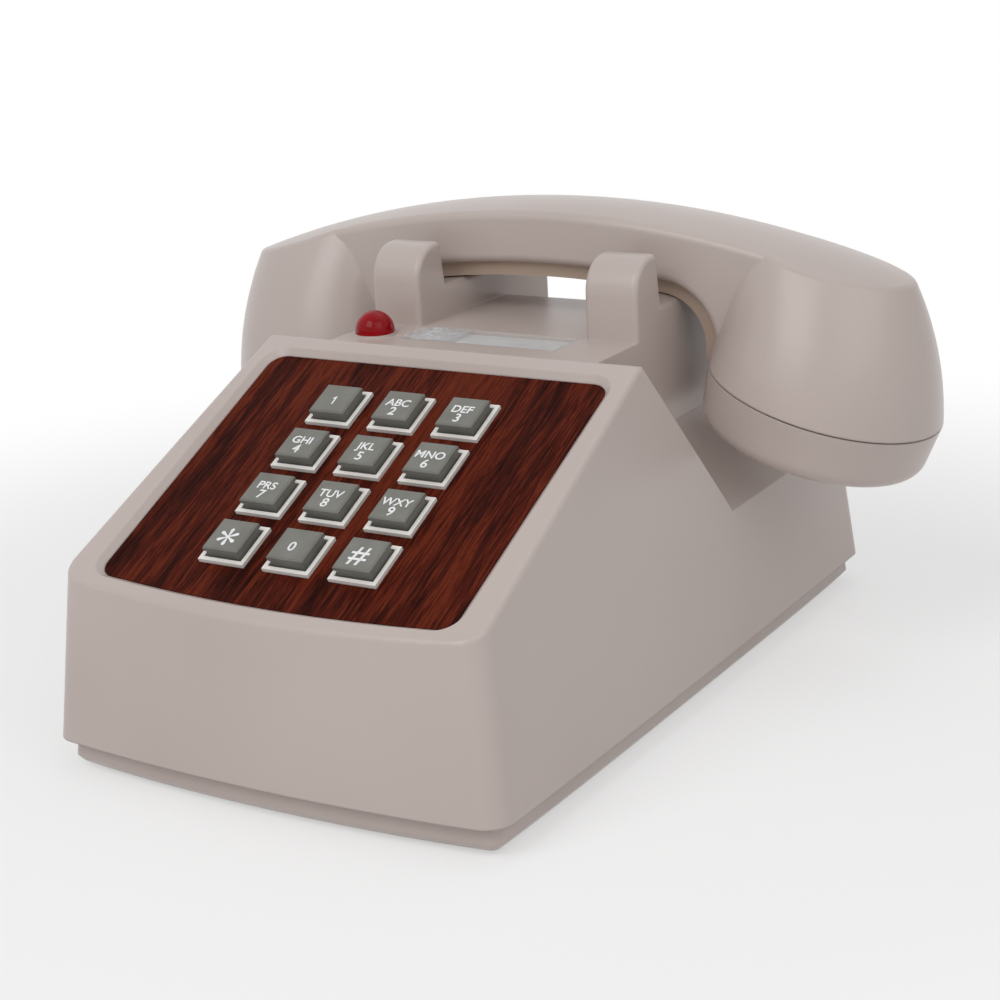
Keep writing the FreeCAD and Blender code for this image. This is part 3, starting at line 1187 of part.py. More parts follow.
# Ballast weight on the grip cover, and the cord jack in the transmitter end
ballast_low = seam_line_level + s.slip
keep("handset_ballast", box("handset_ballast", -s.ballast_length / 2, s.ballast_length / 2,
                            s.handset_y - s.ballast_width / 2, s.handset_y + s.ballast_width / 2, ballast_low,
                            ballast_low + s.ballast_height))
jack_body = box("handset_jack_body", jack_face, jack_face + s.jack_length, jack_y0, jack_y1,
                socket_top - s.jack_height, socket_top)
jack_middle = socket_top - s.jack_height / 2
jack_mouth = box("handset_jack_mouth", jack_face - s.jack_length, jack_face + s.socket_depth,
                 s.handset_y - s.handset_socket / 2, s.handset_y + s.handset_socket / 2,
                 jack_middle - s.socket_height / 2, jack_middle + s.socket_height / 2)
keep("handset_jack", less("handset_jack", jack_body, [jack_mouth]))

doc.recompute()
for thing in doc.Objects:
    faults = [state for state in thing.State if state in ("Invalid", "Error")]
    if faults:
        raise RuntimeError(f"{thing.Label} did not build: {faults}")
for label, thing in nodes.items():
    if thing.Shape.isNull() or not thing.Shape.isValid():
        raise RuntimeError(f"{label} has no valid shape")
os.makedirs("parts", exist_ok=True)
for label, thing in nodes.items():
    thing.Shape.exportStep(f"parts/{label}.step")
    print(label, len(thing.Shape.Solids), round(thing.Shape.Volume, 1))
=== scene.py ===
import json
import math
import bmesh
import bpy
from mathutils import Euler, Matrix, Quaternion, Vector, noise


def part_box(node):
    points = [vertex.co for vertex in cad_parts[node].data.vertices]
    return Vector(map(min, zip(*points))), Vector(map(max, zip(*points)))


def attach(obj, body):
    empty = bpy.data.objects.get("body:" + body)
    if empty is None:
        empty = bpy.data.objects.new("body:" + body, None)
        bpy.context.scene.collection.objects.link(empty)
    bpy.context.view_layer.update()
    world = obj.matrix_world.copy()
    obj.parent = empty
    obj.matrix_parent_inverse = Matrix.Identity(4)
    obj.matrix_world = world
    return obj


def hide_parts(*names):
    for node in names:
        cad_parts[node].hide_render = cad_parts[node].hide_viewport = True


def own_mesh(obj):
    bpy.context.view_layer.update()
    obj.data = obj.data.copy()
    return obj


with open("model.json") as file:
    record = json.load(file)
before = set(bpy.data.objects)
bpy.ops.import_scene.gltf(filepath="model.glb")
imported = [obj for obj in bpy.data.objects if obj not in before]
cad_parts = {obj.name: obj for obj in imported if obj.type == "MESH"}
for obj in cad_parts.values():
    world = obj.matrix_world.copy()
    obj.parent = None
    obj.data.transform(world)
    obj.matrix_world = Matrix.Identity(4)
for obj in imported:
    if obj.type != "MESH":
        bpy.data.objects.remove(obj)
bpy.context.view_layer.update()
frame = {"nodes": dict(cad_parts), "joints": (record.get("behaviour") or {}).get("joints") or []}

nodes = frame["nodes"]

# Base pan and feet: a shallow tray that closes the telephone from below, injection-moulded in warm
# ash plastic with a satin skin. Four short tapered feet of black rubber, matt and slightly chalky,
# are stuck on under it.
ASH_DEEP = (0.508, 0.430, 0.398, 1)
ASH = (0.530, 0.452, 0.420, 1)
ASH_PALE = (0.548, 0.470, 0.438, 1)
ASH_GLOSS = 0.3
ASH_EDGE = 0.0007
RUBBER_DEEP = (0.022, 0.021, 0.020, 1)
RUBBER = (0.035, 0.034, 0.032, 1)
RUBBER_PALE = (0.070, 0.068, 0.064, 1)
RUBBER_GLOSS = 0.7
BROAD_FLOW = 14.0
PEEL_SCALE = 900.0
PEEL_STRENGTH = 0.05
PEEL_DEPTH = 0.0001
GLOSS_SPREAD = 0.012
PLASTIC_SHINE = 0.4
EDGE_SAMPLES = 6


def node_adder(tree):
    """Function that adds a node with its settings and links to an emptied tree."""
    tree.nodes.clear()

    def add(kind, links=(), **settings):
        node = tree.nodes.new(kind)
        for key, value in settings.items():
            if hasattr(node, key):
                setattr(node, key, value)
            else:
                node.inputs[key.replace("_", " ")].default_value = value
        for socket, source in links:
            tree.links.new(source, node.inputs[socket])
        return node

    return add


def new_material(name):
    """Empty node material, its node adder and the piece's own coordinates."""
    material = bpy.data.materials.new(name)
    material.use_nodes = True
    add = node_adder(material.node_tree)
    return material, add, add("ShaderNodeTexCoord").outputs["Object"]


def speckle(add, place, scale, detail, **more):
    """Noise pattern over a surface."""
    return add("ShaderNodeTexNoise", [("Vector", place)], Scale=scale, Detail=detail, **more).outputs["Fac"]


def ramp(add, source, stops):
    """Colour or grey ramp from (place, value) stops."""
    node = add("ShaderNodeValToRGB", [("Fac", source)])
    while len(node.color_ramp.elements) < len(stops):
        node.color_ramp.elements.new(0.5)
    for element, (place, value) in zip(node.color_ramp.elements, stops):
        element.position = place
        element.color = value if isinstance(value, tuple) else (value, value, value, 1)
    return node.outputs["Color"]


def relief(add, height, strength, depth, edge=0.0):
    """Normal of a fine surface relief, with edges softened over a radius where one is given."""
    links = [("Height", height)]
    if edge:
        soft = add("ShaderNodeBevel", samples=EDGE_SAMPLES, Radius=edge)
        links.append(("Normal", soft.outputs["Normal"]))
    return add("ShaderNodeBump", links, Strength=strength, Distance=depth).outputs["Normal"]


def finish_material(add, colour, roughness, normal=None, **shader):
    """Principled surface from its colour, roughness and normal."""
    links = [("Base Color", colour), ("Roughness", roughness)]
    if normal is not None:
        links.append(("Normal", normal))
    surface = add("ShaderNodeBsdfPrincipled", links, **shader)
    add("ShaderNodeOutputMaterial", [("Surface", surface.outputs["BSDF"])])


def moulded_plastic(name, deep, colour, pale, gloss, flow=BROAD_FLOW, edge=0.0):
    """Moulded plastic or rubber: soft flow mottling and a fine orange-peel skin."""
    material, add, place = new_material(name)
    cloud = speckle(add, place, flow, 2.0)
    peel = speckle(add, place, PEEL_SCALE, 2.0)
    tone = ramp(add, cloud, [(0.3, deep), (0.5, colour), (0.7, pale)])
    rough = ramp(add, cloud, [(0.3, gloss - GLOSS_SPREAD), (0.7, gloss + GLOSS_SPREAD)])
    skin = relief(add, peel, PEEL_STRENGTH, PEEL_DEPTH, edge)
    finish_material(add, tone, rough, skin, Specular_IOR_Level=PLASTIC_SHINE)
    return material


def dress(material, *names):
    """Give CAD nodes a material."""
    for name in names:
        mesh = nodes[name].data
        mesh.materials.clear()
        mesh.materials.append(material)


ash = moulded_plastic("ash_moulding", ASH_DEEP, ASH, ASH_PALE, ASH_GLOSS, edge=ASH_EDGE)
rubber = moulded_plastic("black_rubber", RUBBER_DEEP, RUBBER, RUBBER_PALE, RUBBER_GLOSS)
dress(ash, "base_pan")
dress(rubber, "rubber_feet")

# Cord jacks of the base: black moulded sockets on pedestals of the pan, one facing the rear and one
# facing left. In each, four gold-plated spring wires slope down into the socket.
BLACK_DEEP = (0.018, 0.018, 0.018, 1)
BLACK = (0.028, 0.028, 0.028, 1)
BLACK_PALE = (0.060, 0.060, 0.060, 1)
BLACK_GLOSS = 0.45
GOLD = (0.78, 0.56, 0.22, 1)
GOLD_DARK = (0.66, 0.45, 0.16, 1)
GOLD_GLOSS = 0.22
DRAWN_STRETCH = (1.0, 14.0, 14.0)
DRAWN_SCALE = 160.0
DRAWN_STRENGTH = 0.08
DRAWN_DEPTH = 0.0001
PATINA_SCALE = 60.0
PATINA_DULL = 0.15
WIRE_COUNT = 4
WIRE_STEP = 0.00102
WIRE_ROOT = (0.0, -0.0018, 0.0031)
WIRE_TIP = (0.0, -0.0095, -0.0004)
WIRE_RADIUS = 0.00023
WIRE_SIDES = 8


def rolled_metal(name, colour, dark, gloss):
    """Bare or plated metal with fine drawing lines and a dull patina."""
    material, add, place = new_material(name)
    drawn = add("ShaderNodeMapping", [("Vector", place)], Scale=DRAWN_STRETCH).outputs["Vector"]
    line = speckle(add, drawn, DRAWN_SCALE, 4.0)
    patina = speckle(add, place, PATINA_SCALE, 4.0)
    tone = ramp(add, patina, [(0.35, dark), (0.65, colour)])
    rough = ramp(add, line, [(0.3, gloss), (0.7, gloss + PATINA_DULL)])
    finish_material(add, tone, rough, relief(add, line, DRAWN_STRENGTH, DRAWN_DEPTH), Metallic=1.0)
    return material


def node_box(node):
    """Lowest and highest corner of a CAD node."""
    return [Vector(corner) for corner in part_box(node)]


def new_piece(name, mesh):
    """Piece at the origin, with its place in its mesh."""
    piece = bpy.data.objects.new(name, mesh)
    bpy.context.scene.collection.objects.link(piece)
    return piece


def plain_mesh(source):
    """Plain mesh of a curve, text or node-made object, which is then removed."""
    bpy.context.view_layer.update()
    mesh = bpy.data.meshes.new_from_object(source.evaluated_get(bpy.context.evaluated_depsgraph_get()))
    bpy.data.objects.remove(source)
    return mesh


def grown(name, sizes, grow, material, place):
    """Piece from a node tree with named sizes, as a plain mesh put in its place."""
    group = bpy.data.node_groups.new(name, "GeometryNodeTree")
    group.interface.new_socket("Geometry", in_out="OUTPUT", socket_type="NodeSocketGeometry")
    kinds = {int: "NodeSocketInt", float: "NodeSocketFloat", tuple: "NodeSocketVector"}
    sockets = {label: group.interface.new_socket(label, in_out="INPUT", socket_type=kinds[type(size)])
               for label, size in sizes.items()}
    add = node_adder(group)
    whole = add("GeometryNodeRealizeInstances", [("Geometry", grow(add, add("NodeGroupInput").outputs))])
    dressed = add("GeometryNodeSetMaterial", [("Geometry", whole.outputs[0])], Material=material)
    add("NodeGroupOutput", [("Geometry", dressed.outputs[0])])
    seed = new_piece(f"{name}_seed", bpy.data.meshes.new(f"{name}_seed"))
    modifier = seed.modifiers.new(name, "NODES")
    modifier.node_group = group
    for label, size in sizes.items():
        modifier[sockets[label].identifier] = size
    mesh = plain_mesh(seed)
    mesh.transform(place)
    mesh.name = name
    return new_piece(name, mesh)


def rod(add, path, radius, sides):
    """Round wire of a radius along a path."""
    section = add("GeometryNodeCurvePrimitiveCircle", [("Radius", radius)], Resolution=sides)
    return add("GeometryNodeCurveToMesh", [("Curve", path.outputs[0]), ("Profile Curve", section.outputs[0])],
               Fill_Caps=True)


def contact_row(add, size):
    row = add("GeometryNodeMeshLine", [("Count", size["Wires"]), ("Start Location", size["First"]),
                                       ("Offset", size["Step"])])
    line = add("GeometryNodeCurvePrimitiveLine", [("Start", size["Root"]), ("End", size["Tip"])])
    wire = rod(add, line, size["Radius"], WIRE_SIDES)
    return add("GeometryNodeInstanceOnPoints", [("Points", row.outputs[0]),
                                                ("Instance", wire.outputs[0])]).outputs[0]


def fit_contacts(jack, body, faces_left):
    """Contact wires behind the mouth of a jack that faces left or to the rear."""
    low, high = node_box(jack)
    mouth = (low + high) / 2
    if faces_left:
        mouth.x = low.x
    else:
        mouth.y = high.y
    turn = Matrix.Rotation(math.pi / 2 if faces_left else 0.0, 4, "Z")
    sizes = {"Wires": WIRE_COUNT, "First": (-(WIRE_COUNT - 1) / 2 * WIRE_STEP, 0.0, 0.0),
             "Step": (WIRE_STEP, 0.0, 0.0), "Root": WIRE_ROOT, "Tip": WIRE_TIP, "Radius": WIRE_RADIUS}
    wires = grown(f"{jack}_contacts", sizes, contact_row, gold, Matrix.Translation(mouth) @ turn)
    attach(wires, body)


black = moulded_plastic("black_mouldings", BLACK_DEEP, BLACK, BLACK_PALE, BLACK_GLOSS)
gold = rolled_metal("gold_contacts", GOLD, GOLD_DARK, GOLD_GLOSS)
dress(black, "line_jack", "base_handset_jack")
fit_contacts("line_jack", "base", False)
fit_contacts("base_handset_jack", "base", True)

# Main board: green glass laminate with its parts soldered on top, screwed down on four standoffs
# of the pan with plated steel screws.
LAMINATE_DEEP = (0.02, 0.11, 0.05, 1)
LAMINATE = (0.03, 0.16, 0.07, 1)
LAMINATE_PALE = (0.05, 0.20, 0.09, 1)
LAMINATE_GLOSS = 0.4
LAMINATE_WEAVE = 90.0
STEEL = (0.62, 0.61, 0.58, 1)
STEEL_DARK = (0.48, 0.46, 0.42, 1)
STEEL_GLOSS = 0.28
laminate = moulded_plastic("green_laminate", LAMINATE_DEEP, LAMINATE, LAMINATE_PALE, LAMINATE_GLOSS,
                           LAMINATE_WEAVE)
steel = rolled_metal("plated_steel", STEEL, STEEL_DARK, STEEL_GLOSS)
dress(laminate, "main_board", "board_parts")
dress(steel, "board_screws")

# Ringer: a steel frame on the pan that carries an enamelled copper coil, a swinging clapper and
# two pressed steel gongs, each held on its post by a screw.
COPPER = (0.55, 0.26, 0.13, 1)
COPPER_DARK = (0.40, 0.18, 0.09, 1)
COPPER_GLOSS = 0.3
copper = rolled_metal("copper_winding", COPPER, COPPER_DARK, COPPER_GLOSS)
dress(copper, "ringer_coil")
dress(steel, "ringer_frame", "clapper", "gong_left", "gong_right", "gong_screws")

# Volume wheel: a black moulded finger wheel on a steel axle that shows through a slot of the pan.
# Fine straight ribs round its rim give the finger a grip.
RIB_COUNT = 60
RIB_SIZE = (0.0005, 0.0006, 0.0038)


def rib_ring(add, size):
    ring = add("GeometryNodeMeshCircle", [("Vertices", size["Ribs"]), ("Radius", size["Radius"])])
    rib = add("GeometryNodeMeshCube", [("Size", size["Rib"])])
    outwards = add("GeometryNodeInputPosition").outputs[0]
    turned = add("FunctionNodeAlignRotationToVector", [("Vector", outwards)], axis="X")
    return add("GeometryNodeInstanceOnPoints", [("Points", ring.outputs[0]), ("Instance", rib.outputs[0]),
                                                ("Rotation", turned.outputs[0])]).outputs[0]


dress(black, "volume_wheel")
dress(steel, "wheel_axle")
wheel_low, wheel_high = node_box("volume_wheel")
wheel_sizes = {"Ribs": RIB_COUNT, "Radius": (wheel_high.z - wheel_low.z) / 2, "Rib": RIB_SIZE}
wheel_place = Matrix.Translation((wheel_low + wheel_high) / 2) @ Matrix.Rotation(math.pi / 2, 4, "Y")
knurl = grown("wheel_knurl", wheel_sizes, rib_ring, black, wheel_place)
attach(knurl, "volume_wheel")

# Hook: a bent steel bracket, screwed to the pan, holds a lever on a steel pin. On its shelf stand a
# black switch and a coil of plated steel wire that raises the lever, and with it the two plungers in
# the cradle. Lever and plungers are moulded in slippery white plastic.
WHITE_DEEP = (0.62, 0.60, 0.54, 1)
WHITE = (0.74, 0.73, 0.69, 1)
WHITE_PALE = (0.80, 0.79, 0.76, 1)
WHITE_GLOSS = 0.35
WHITE_FLOW = 50.0
SPRING_WIRE = 0.00035
SPRING_TURNS = 7.0
SPRING_STEPS = 32
SPRING_SIDES = 10


def coil(add, size):
    path = add("GeometryNodeCurveSpiral", [("Rotations", size["Turns"]), ("Start Radius", size["Radius"]),
                                           ("End Radius", size["Radius"]), ("Height", size["Height"])],
               Resolution=SPRING_STEPS)
    return rod(add, path, size["Wire"], SPRING_SIDES).outputs[0]


white = moulded_plastic("white_plungers", WHITE_DEEP, WHITE, WHITE_PALE, WHITE_GLOSS, WHITE_FLOW)
dress(steel, "hook_bracket", "bracket_screws", "hook_pivot_pin")
dress(black, "hook_switch")
dress(white, "plunger_left", "plunger_right", "hook_lever")
spring_low, spring_high = node_box("hook_spring")
spring_foot = (spring_low + spring_high) / 2
spring_foot.z = spring_low.z + SPRING_WIRE
spring_sizes = {"Turns": SPRING_TURNS, "Radius": (spring_high.x - spring_low.x) / 2 - SPRING_WIRE,
                "Height": spring_high.z - spring_low.z - 2 * SPRING_WIRE, "Wire": SPRING_WIRE}
spring = grown("hook_coil", spring_sizes, coil, steel, Matrix.Translation(spring_foot))
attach(spring, "base")
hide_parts("hook_spring")

# Housing: one ash moulding with the sloping front, the notches, the cradle walls and their ears.
# It drops over the pan and is held by four plated screws from below.
dress(ash, "housing")
dress(steel, "housing_screws")

# Faceplate: a thin plate printed with a walnut grain that runs up the slope, dark red-brown with
# almost black streaks, under a satin lacquer. It lies in the housing's bezel.
GRAIN_STRETCH = (1.0, 0.06, 1.0)
BAND_SCALE = 150.0
BAND_SHARE = 0.42
STREAK_SCALE = 1300.0
STREAK_ROUGH = 0.7
GRAIN_WANDER = 0.5
PORE_SCALE = 2600.0
PORE_STRENGTH = 0.08
PORE_DEPTH = 0.0001
GRAIN_TONES = [(0.37, (0.009, 0.0014, 0.0008, 1)), (0.45, (0.034, 0.0046, 0.0022, 1)),
               (0.51, (0.078, 0.0108, 0.0045, 1)), (0.57, (0.135, 0.0225, 0.0090, 1)),
               (0.66, (0.060, 0.0085, 0.0038, 1))]
LACQUER_ROUGH = [(0.3, 0.52), (0.7, 0.42)]
LACQUER_SHINE = 0.03
key_axis = Vector(next(joint for joint in frame["joints"] if joint["name"] == "key_5_press")["axis"])
slope = math.atan2(key_axis.y, -key_axis.z)
wood, add, place = new_material("walnut_grain")
turned = add("ShaderNodeMapping", [("Vector", place)], Rotation=(-slope, 0.0, 0.0)).outputs["Vector"]
along = add("ShaderNodeMapping", [("Vector", turned)], Scale=GRAIN_STRETCH).outputs["Vector"]
band = speckle(add, along, BAND_SCALE, 3.0, Distortion=GRAIN_WANDER)
streak = speckle(add, along, STREAK_SCALE, 6.0, Roughness=STREAK_ROUGH, Distortion=GRAIN_WANDER)
pore = speckle(add, along, PORE_SCALE, 2.0)
mixed = add("ShaderNodeMix", [("A", streak), ("B", band)], Factor=BAND_SHARE).outputs["Result"]
finish_material(add, ramp(add, mixed, GRAIN_TONES), ramp(add, streak, LACQUER_ROUGH),
                relief(add, pore, PORE_STRENGTH, PORE_DEPTH), Specular_IOR_Level=LACQUER_SHINE)
dress(wood, "faceplate")

# Keypad frame and board: a cream moulding under the faceplate with a square collar up round each
# key, and behind it the green laminate board of the key contacts, held by small plated screws.
CREAM_DEEP = (0.80, 0.765, 0.72, 1)
CREAM = (0.84, 0.81, 0.77, 1)
CREAM_PALE = (0.87, 0.845, 0.81, 1)
CREAM_GLOSS = 0.4
CREAM_FLOW = 60.0
cream = moulded_plastic("cream_collars", CREAM_DEEP, CREAM, CREAM_PALE, CREAM_GLOSS, CREAM_FLOW)
dress(cream, "keypad_frame")
dress(laminate, "keypad_board")
dress(steel, "keypad_screws")

# Keys: grey-green mouldings with a satin skin that slide in the collars of the frame.
# The legends are moulded through in white, with the letters above the digit.
KEY_DEEP = (0.162, 0.160, 0.141, 1)
KEY_GREY = (0.182, 0.180, 0.160, 1)
KEY_PALE = (0.202, 0.200, 0.180, 1)
KEY_GLOSS = 0.46
KEY_FLOW = 160.0
LEGENDS = {"1": ("", "1"), "2": ("ABC", "2"), "3": ("DEF", "3"), "4": ("GHI", "4"), "5": ("JKL", "5"),
           "6": ("MNO", "6"), "7": ("PRS", "7"), "8": ("TUV", "8"), "9": ("WXY", "9"), "star": ("", "*"),
           "0": ("", "0"), "hash": ("", "#")}
LETTER_HEIGHT = 0.0024
DIGIT_HEIGHT = 0.0028
SIGN_HEIGHTS = {"*": 0.0086, "#": 0.0056}
LETTER_RISE = 0.0006
DIGIT_DROP = 0.0025
LONE_DROP = 0.0009
LEGEND_RELIEF = 0.00006
LEGEND_PROUD = 0.4
STROKE = 0.00005
CAPITAL_SHARE = 0.7
FLAGGED_ONE = ((0.07, 0.0), (0.07, 1.0), (-0.05, 1.0), (-0.30, 0.78), (-0.23, 0.68), (-0.07, 0.81),
               (-0.07, 0.0))
INK_SCALE = 900.0
INK_TONES = [(0.3, (0.80, 0.81, 0.81, 1)), (0.6, (0.92, 0.93, 0.94, 1))]
INK_ROUGH = [(0.3, 0.55), (0.7, 0.45)]
LEVEL_SLACK = 1e-5


def letter_curve(name, words, height):
    """Outline of the words; the figure one is drawn with its flag."""
    if words == "1":
        curve = bpy.data.curves.new(name, "CURVE")
        curve.dimensions = "2D"
        curve.fill_mode = "BOTH"
        outline = curve.splines.new("POLY")
        outline.points.add(len(FLAGGED_ONE) - 1)
        for point, (x, y) in zip(outline.points, FLAGGED_ONE):
            point.co = (x * height, y * height, 0, 1)
        outline.use_cyclic_u = True
    else:
        curve = bpy.data.curves.new(name, "FONT")
        curve.body = words
        curve.size = height / CAPITAL_SHARE
        curve.offset = STROKE
    curve.extrude = LEGEND_RELIEF
    return curve


def middle_of(points):
    """Middle of the box round some points."""
    return Vector([(min(point[axis] for point in points) + max(point[axis] for point in points)) / 2
                   for axis in range(3)])


def lettering(name, words, height, place):
    """Flat letters as a thin plain mesh on the slope, centred on a place."""
    mesh = plain_mesh(new_piece(name, letter_curve(name, words, height)))
    middle = middle_of([vertex.co for vertex in mesh.vertices])
    mesh.transform(Matrix.Translation(place) @ slope_turn @ Matrix.Translation((-middle.x, -middle.y, 0)))
    mesh.materials.clear()
    mesh.materials.append(legend_white)
    return new_piece(name, mesh)


key_skin = moulded_plastic("grey_green_keys", KEY_DEEP, KEY_GREY, KEY_PALE, KEY_GLOSS, KEY_FLOW)
legend_white, add, place = new_material("legend_white")
fade = speckle(add, place, INK_SCALE, 3.0)
finish_material(add, ramp(add, fade, INK_TONES), ramp(add, fade, INK_ROUGH))
slope_turn = Euler((slope, 0, 0)).to_matrix().to_4x4()
up_slope = Vector((0, math.cos(slope), math.sin(slope)))
key_centres = {}
for key, (letters, digit) in LEGENDS.items():
    dress(key_skin, f"key_{key}")
    points = [vertex.co for vertex in nodes[f"key_{key}"].data.vertices]
    highest = max(point.dot(-key_axis) for point in points)
    key_centres[key] = middle_of([point for point in points if point.dot(-key_axis) > highest - LEVEL_SLACK])
    centre = key_centres[key] - key_axis * LEGEND_RELIEF * LEGEND_PROUD
    lines = [("digit", digit, SIGN_HEIGHTS.get(digit, DIGIT_HEIGHT), -DIGIT_DROP if letters else -LONE_DROP)]
    if letters:
        lines.append(("letters", letters, LETTER_HEIGHT, LETTER_RISE))
    for part, words, height, rise in lines:
        legend = lettering(f"legend_{key}_{part}", words, height, centre + up_slope * rise)
        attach(legend, f"key_{key}")

# Keypad mat: one sheet of black moulded rubber on the keypad board, with a dome under each key.
# A pressed key collapses its dome on to the contacts of the board.
DOME_FOOT = 0.0036
DOME_TOP = 0.0027
DOME_SIDES = 40
DOME_STEPS = 4
MAT_EDGE = 0.0003
LEVEL_DIGITS = 5


def dome_form(add, size):
    return add("GeometryNodeMeshCone", [("Radius Bottom", size["Foot"]), ("Radius Top", size["Top"]),
                                        ("Depth", size["Height"])],
               Vertices=DOME_SIDES, Side_Segments=DOME_STEPS).outputs[0]


mat_points = [vertex.co.copy() for vertex in nodes["keypad_mat"].data.vertices]
mat_low, mat_top, dome_tip = sorted({round(point.dot(-key_axis), LEVEL_DIGITS) for point in mat_points})
dome_height = dome_tip - mat_top
mat_rows = [point.dot(up_slope) for point in mat_points]
mat_size = (2 * max(point.x for point in mat_points), max(mat_rows) - min(mat_rows), mat_top - mat_low)
mat_middle = up_slope * (min(mat_rows) + max(mat_rows)) / 2 - key_axis * (mat_low + mat_top) / 2
build = bmesh.new()
bmesh.ops.create_cube(build, size=1)
bmesh.ops.scale(build, vec=mat_size, verts=build.verts)
bmesh.ops.bevel(build, geom=build.edges[:], offset=MAT_EDGE, segments=2, profile=0.5, affect="EDGES")
mat_mesh = bpy.data.meshes.new("mat_sheet")
build.to_mesh(mat_mesh)
build.free()
mat_mesh.transform(Matrix.Translation(mat_middle) @ slope_turn)
mat_mesh.materials.append(rubber)
mat_sheet = new_piece("mat_sheet", mat_mesh)
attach(mat_sheet, "base")
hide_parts("keypad_mat")
dome_sizes = {"Foot": DOME_FOOT, "Top": DOME_TOP, "Height": dome_height}
for key, centre in key_centres.items():
    foot = centre + key_axis * (centre.dot(-key_axis) - mat_top)
    dome = grown(f"mat_dome_{key}", dome_sizes, dome_form, rubber, Matrix.Translation(foot) @ slope_turn)
    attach(dome, "base")
    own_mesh(dome)

# Message lamp: a domed lens moulded in translucent red plastic on a small boss of the deck.
# Its stem goes through the deck, and the clear acrylic emitter is pushed up into it.
LENS_SCALE = 220.0
LENS_TONES = [(0.3, (0.25, 0.002, 0.005, 1)), (0.7, (0.32, 0.004, 0.008, 1))]
LENS_ROUGH = [(0.3, 0.06), (0.7, 0.12)]
DUST_SCALE = 340.0
CLEAR_TONES = [(0.3, (0.93, 0.92, 0.88, 1)), (0.7, (0.98, 0.98, 0.96, 1))]
CLEAR_ROUGH = [(0.35, 0.05), (0.75, 0.16)]
red, add, place = new_material("red_lens")
swirl = speckle(add, place, LENS_SCALE, 2.0)
finish_material(add, ramp(add, swirl, LENS_TONES), ramp(add, swirl, LENS_ROUGH),
                Transmission_Weight=0.05, IOR=1.49, Specular_IOR_Level=0.12)
clear, add, place = new_material("clear_acrylic")
dust = speckle(add, place, DUST_SCALE, 5.0)
finish_material(add, ramp(add, dust, CLEAR_TONES), ramp(add, dust, CLEAR_ROUGH), Alpha=0.22, IOR=1.46)
dress(red, "lamp_lens")
dress(clear, "lamp_emitter")

# Number card: a blank paper strip in the recess between the ears, under a clear acrylic window.
# A protective film still sticks to the window, crinkled and loose at its left end.
FIBRE_SCALE = 700.0
FIBRE_STRENGTH = 0.2
FIBRE_DEPTH = 0.0001
STAIN_SCALE = 70.0
PAPER_TONES = [(0.35, (0.66, 0.66, 0.67, 1)), (0.65, (0.73, 0.73, 0.745, 1))]
PAPER_ROUGH = [(0.3, 0.75), (0.7, 0.9)]
FILM_LENGTH = 0.0145
FILM_LIFT = 0.0001
FILM_WRINKLE = 0.0011
FILM_SHEET = 0.00004
FILM_CELLS = (56, 48)
CREASES_ALONG = 5.5
CREASES_ACROSS = 4.0
CREASE_LAYER = 0.3
CREASE_SHARP = 2.2
FINE_CREASES = 2.6
FINE_SHARE = 0.4
LOOSE_MIDDLE = 0.4
LOOSE_REACH = 0.6
STUCK_RIM = 5
FILM_SCALE = 900.0
FILM_STRENGTH = 0.1
FILM_DEPTH = 0.0002
FILM_TONES = [(0.4, (0.84, 0.84, 0.85, 1)), (0.6, (0.94, 0.94, 0.95, 1))]
FILM_ROUGH = [(0.4, 0.06), (0.6, 0.14)]


def crease(spot):
    """Sharp ridge where the noise crosses zero."""
    return 1 - abs(noise.noise(spot)) * CREASE_SHARP


paper, add, place = new_material("card_paper")
fibre = speckle(add, place, FIBRE_SCALE, 5.0)
stain = speckle(add, place, STAIN_SCALE, 4.0)
finish_material(add, ramp(add, stain, PAPER_TONES), ramp(add, fibre, PAPER_ROUGH),
                relief(add, fibre, FIBRE_STRENGTH, FIBRE_DEPTH))
dress(paper, "number_card")
dress(clear, "card_window")
window_low, window_high = node_box("card_window")
build = bmesh.new()
bmesh.ops.create_grid(build, x_segments=FILM_CELLS[0], y_segments=FILM_CELLS[1], size=0.5)
for vertex in build.verts:
    along, across = vertex.co.x + 0.5, vertex.co.y + 0.5
    spot = Vector((along * CREASES_ALONG, across * CREASES_ACROSS, CREASE_LAYER))
    height = (1 - FINE_SHARE) * crease(spot) + FINE_SHARE * crease(spot * FINE_CREASES)
    loose = max(0.0, 1 - abs(along - LOOSE_MIDDLE) / LOOSE_REACH)
    loose *= min(1.0, STUCK_RIM * across, STUCK_RIM * (1 - across))
    vertex.co = Vector((window_low.x + along * FILM_LENGTH,
                        window_low.y + across * (window_high.y - window_low.y),
                        window_high.z + FILM_LIFT + FILM_WRINKLE * loose * max(0.0, height)))
bmesh.ops.solidify(build, geom=build.faces[:], thickness=FILM_SHEET)
bmesh.ops.recalc_face_normals(build, faces=build.faces[:])
film_mesh = bpy.data.meshes.new("window_film")
build.to_mesh(film_mesh)
build.free()
film_mesh.shade_smooth()
film_skin, add, place = new_material("crinkled_film")
crinkle = speckle(add, place, FILM_SCALE, 4.0, Distortion=1.2)
finish_material(add, ramp(add, crinkle, FILM_TONES), ramp(add, crinkle, FILM_ROUGH),
                relief(add, crinkle, FILM_STRENGTH, FILM_DEPTH), Alpha=0.24, Specular_IOR_Level=0.8)
film_mesh.materials.append(film_skin)
film = new_piece("window_film", film_mesh)
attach(film, "base")

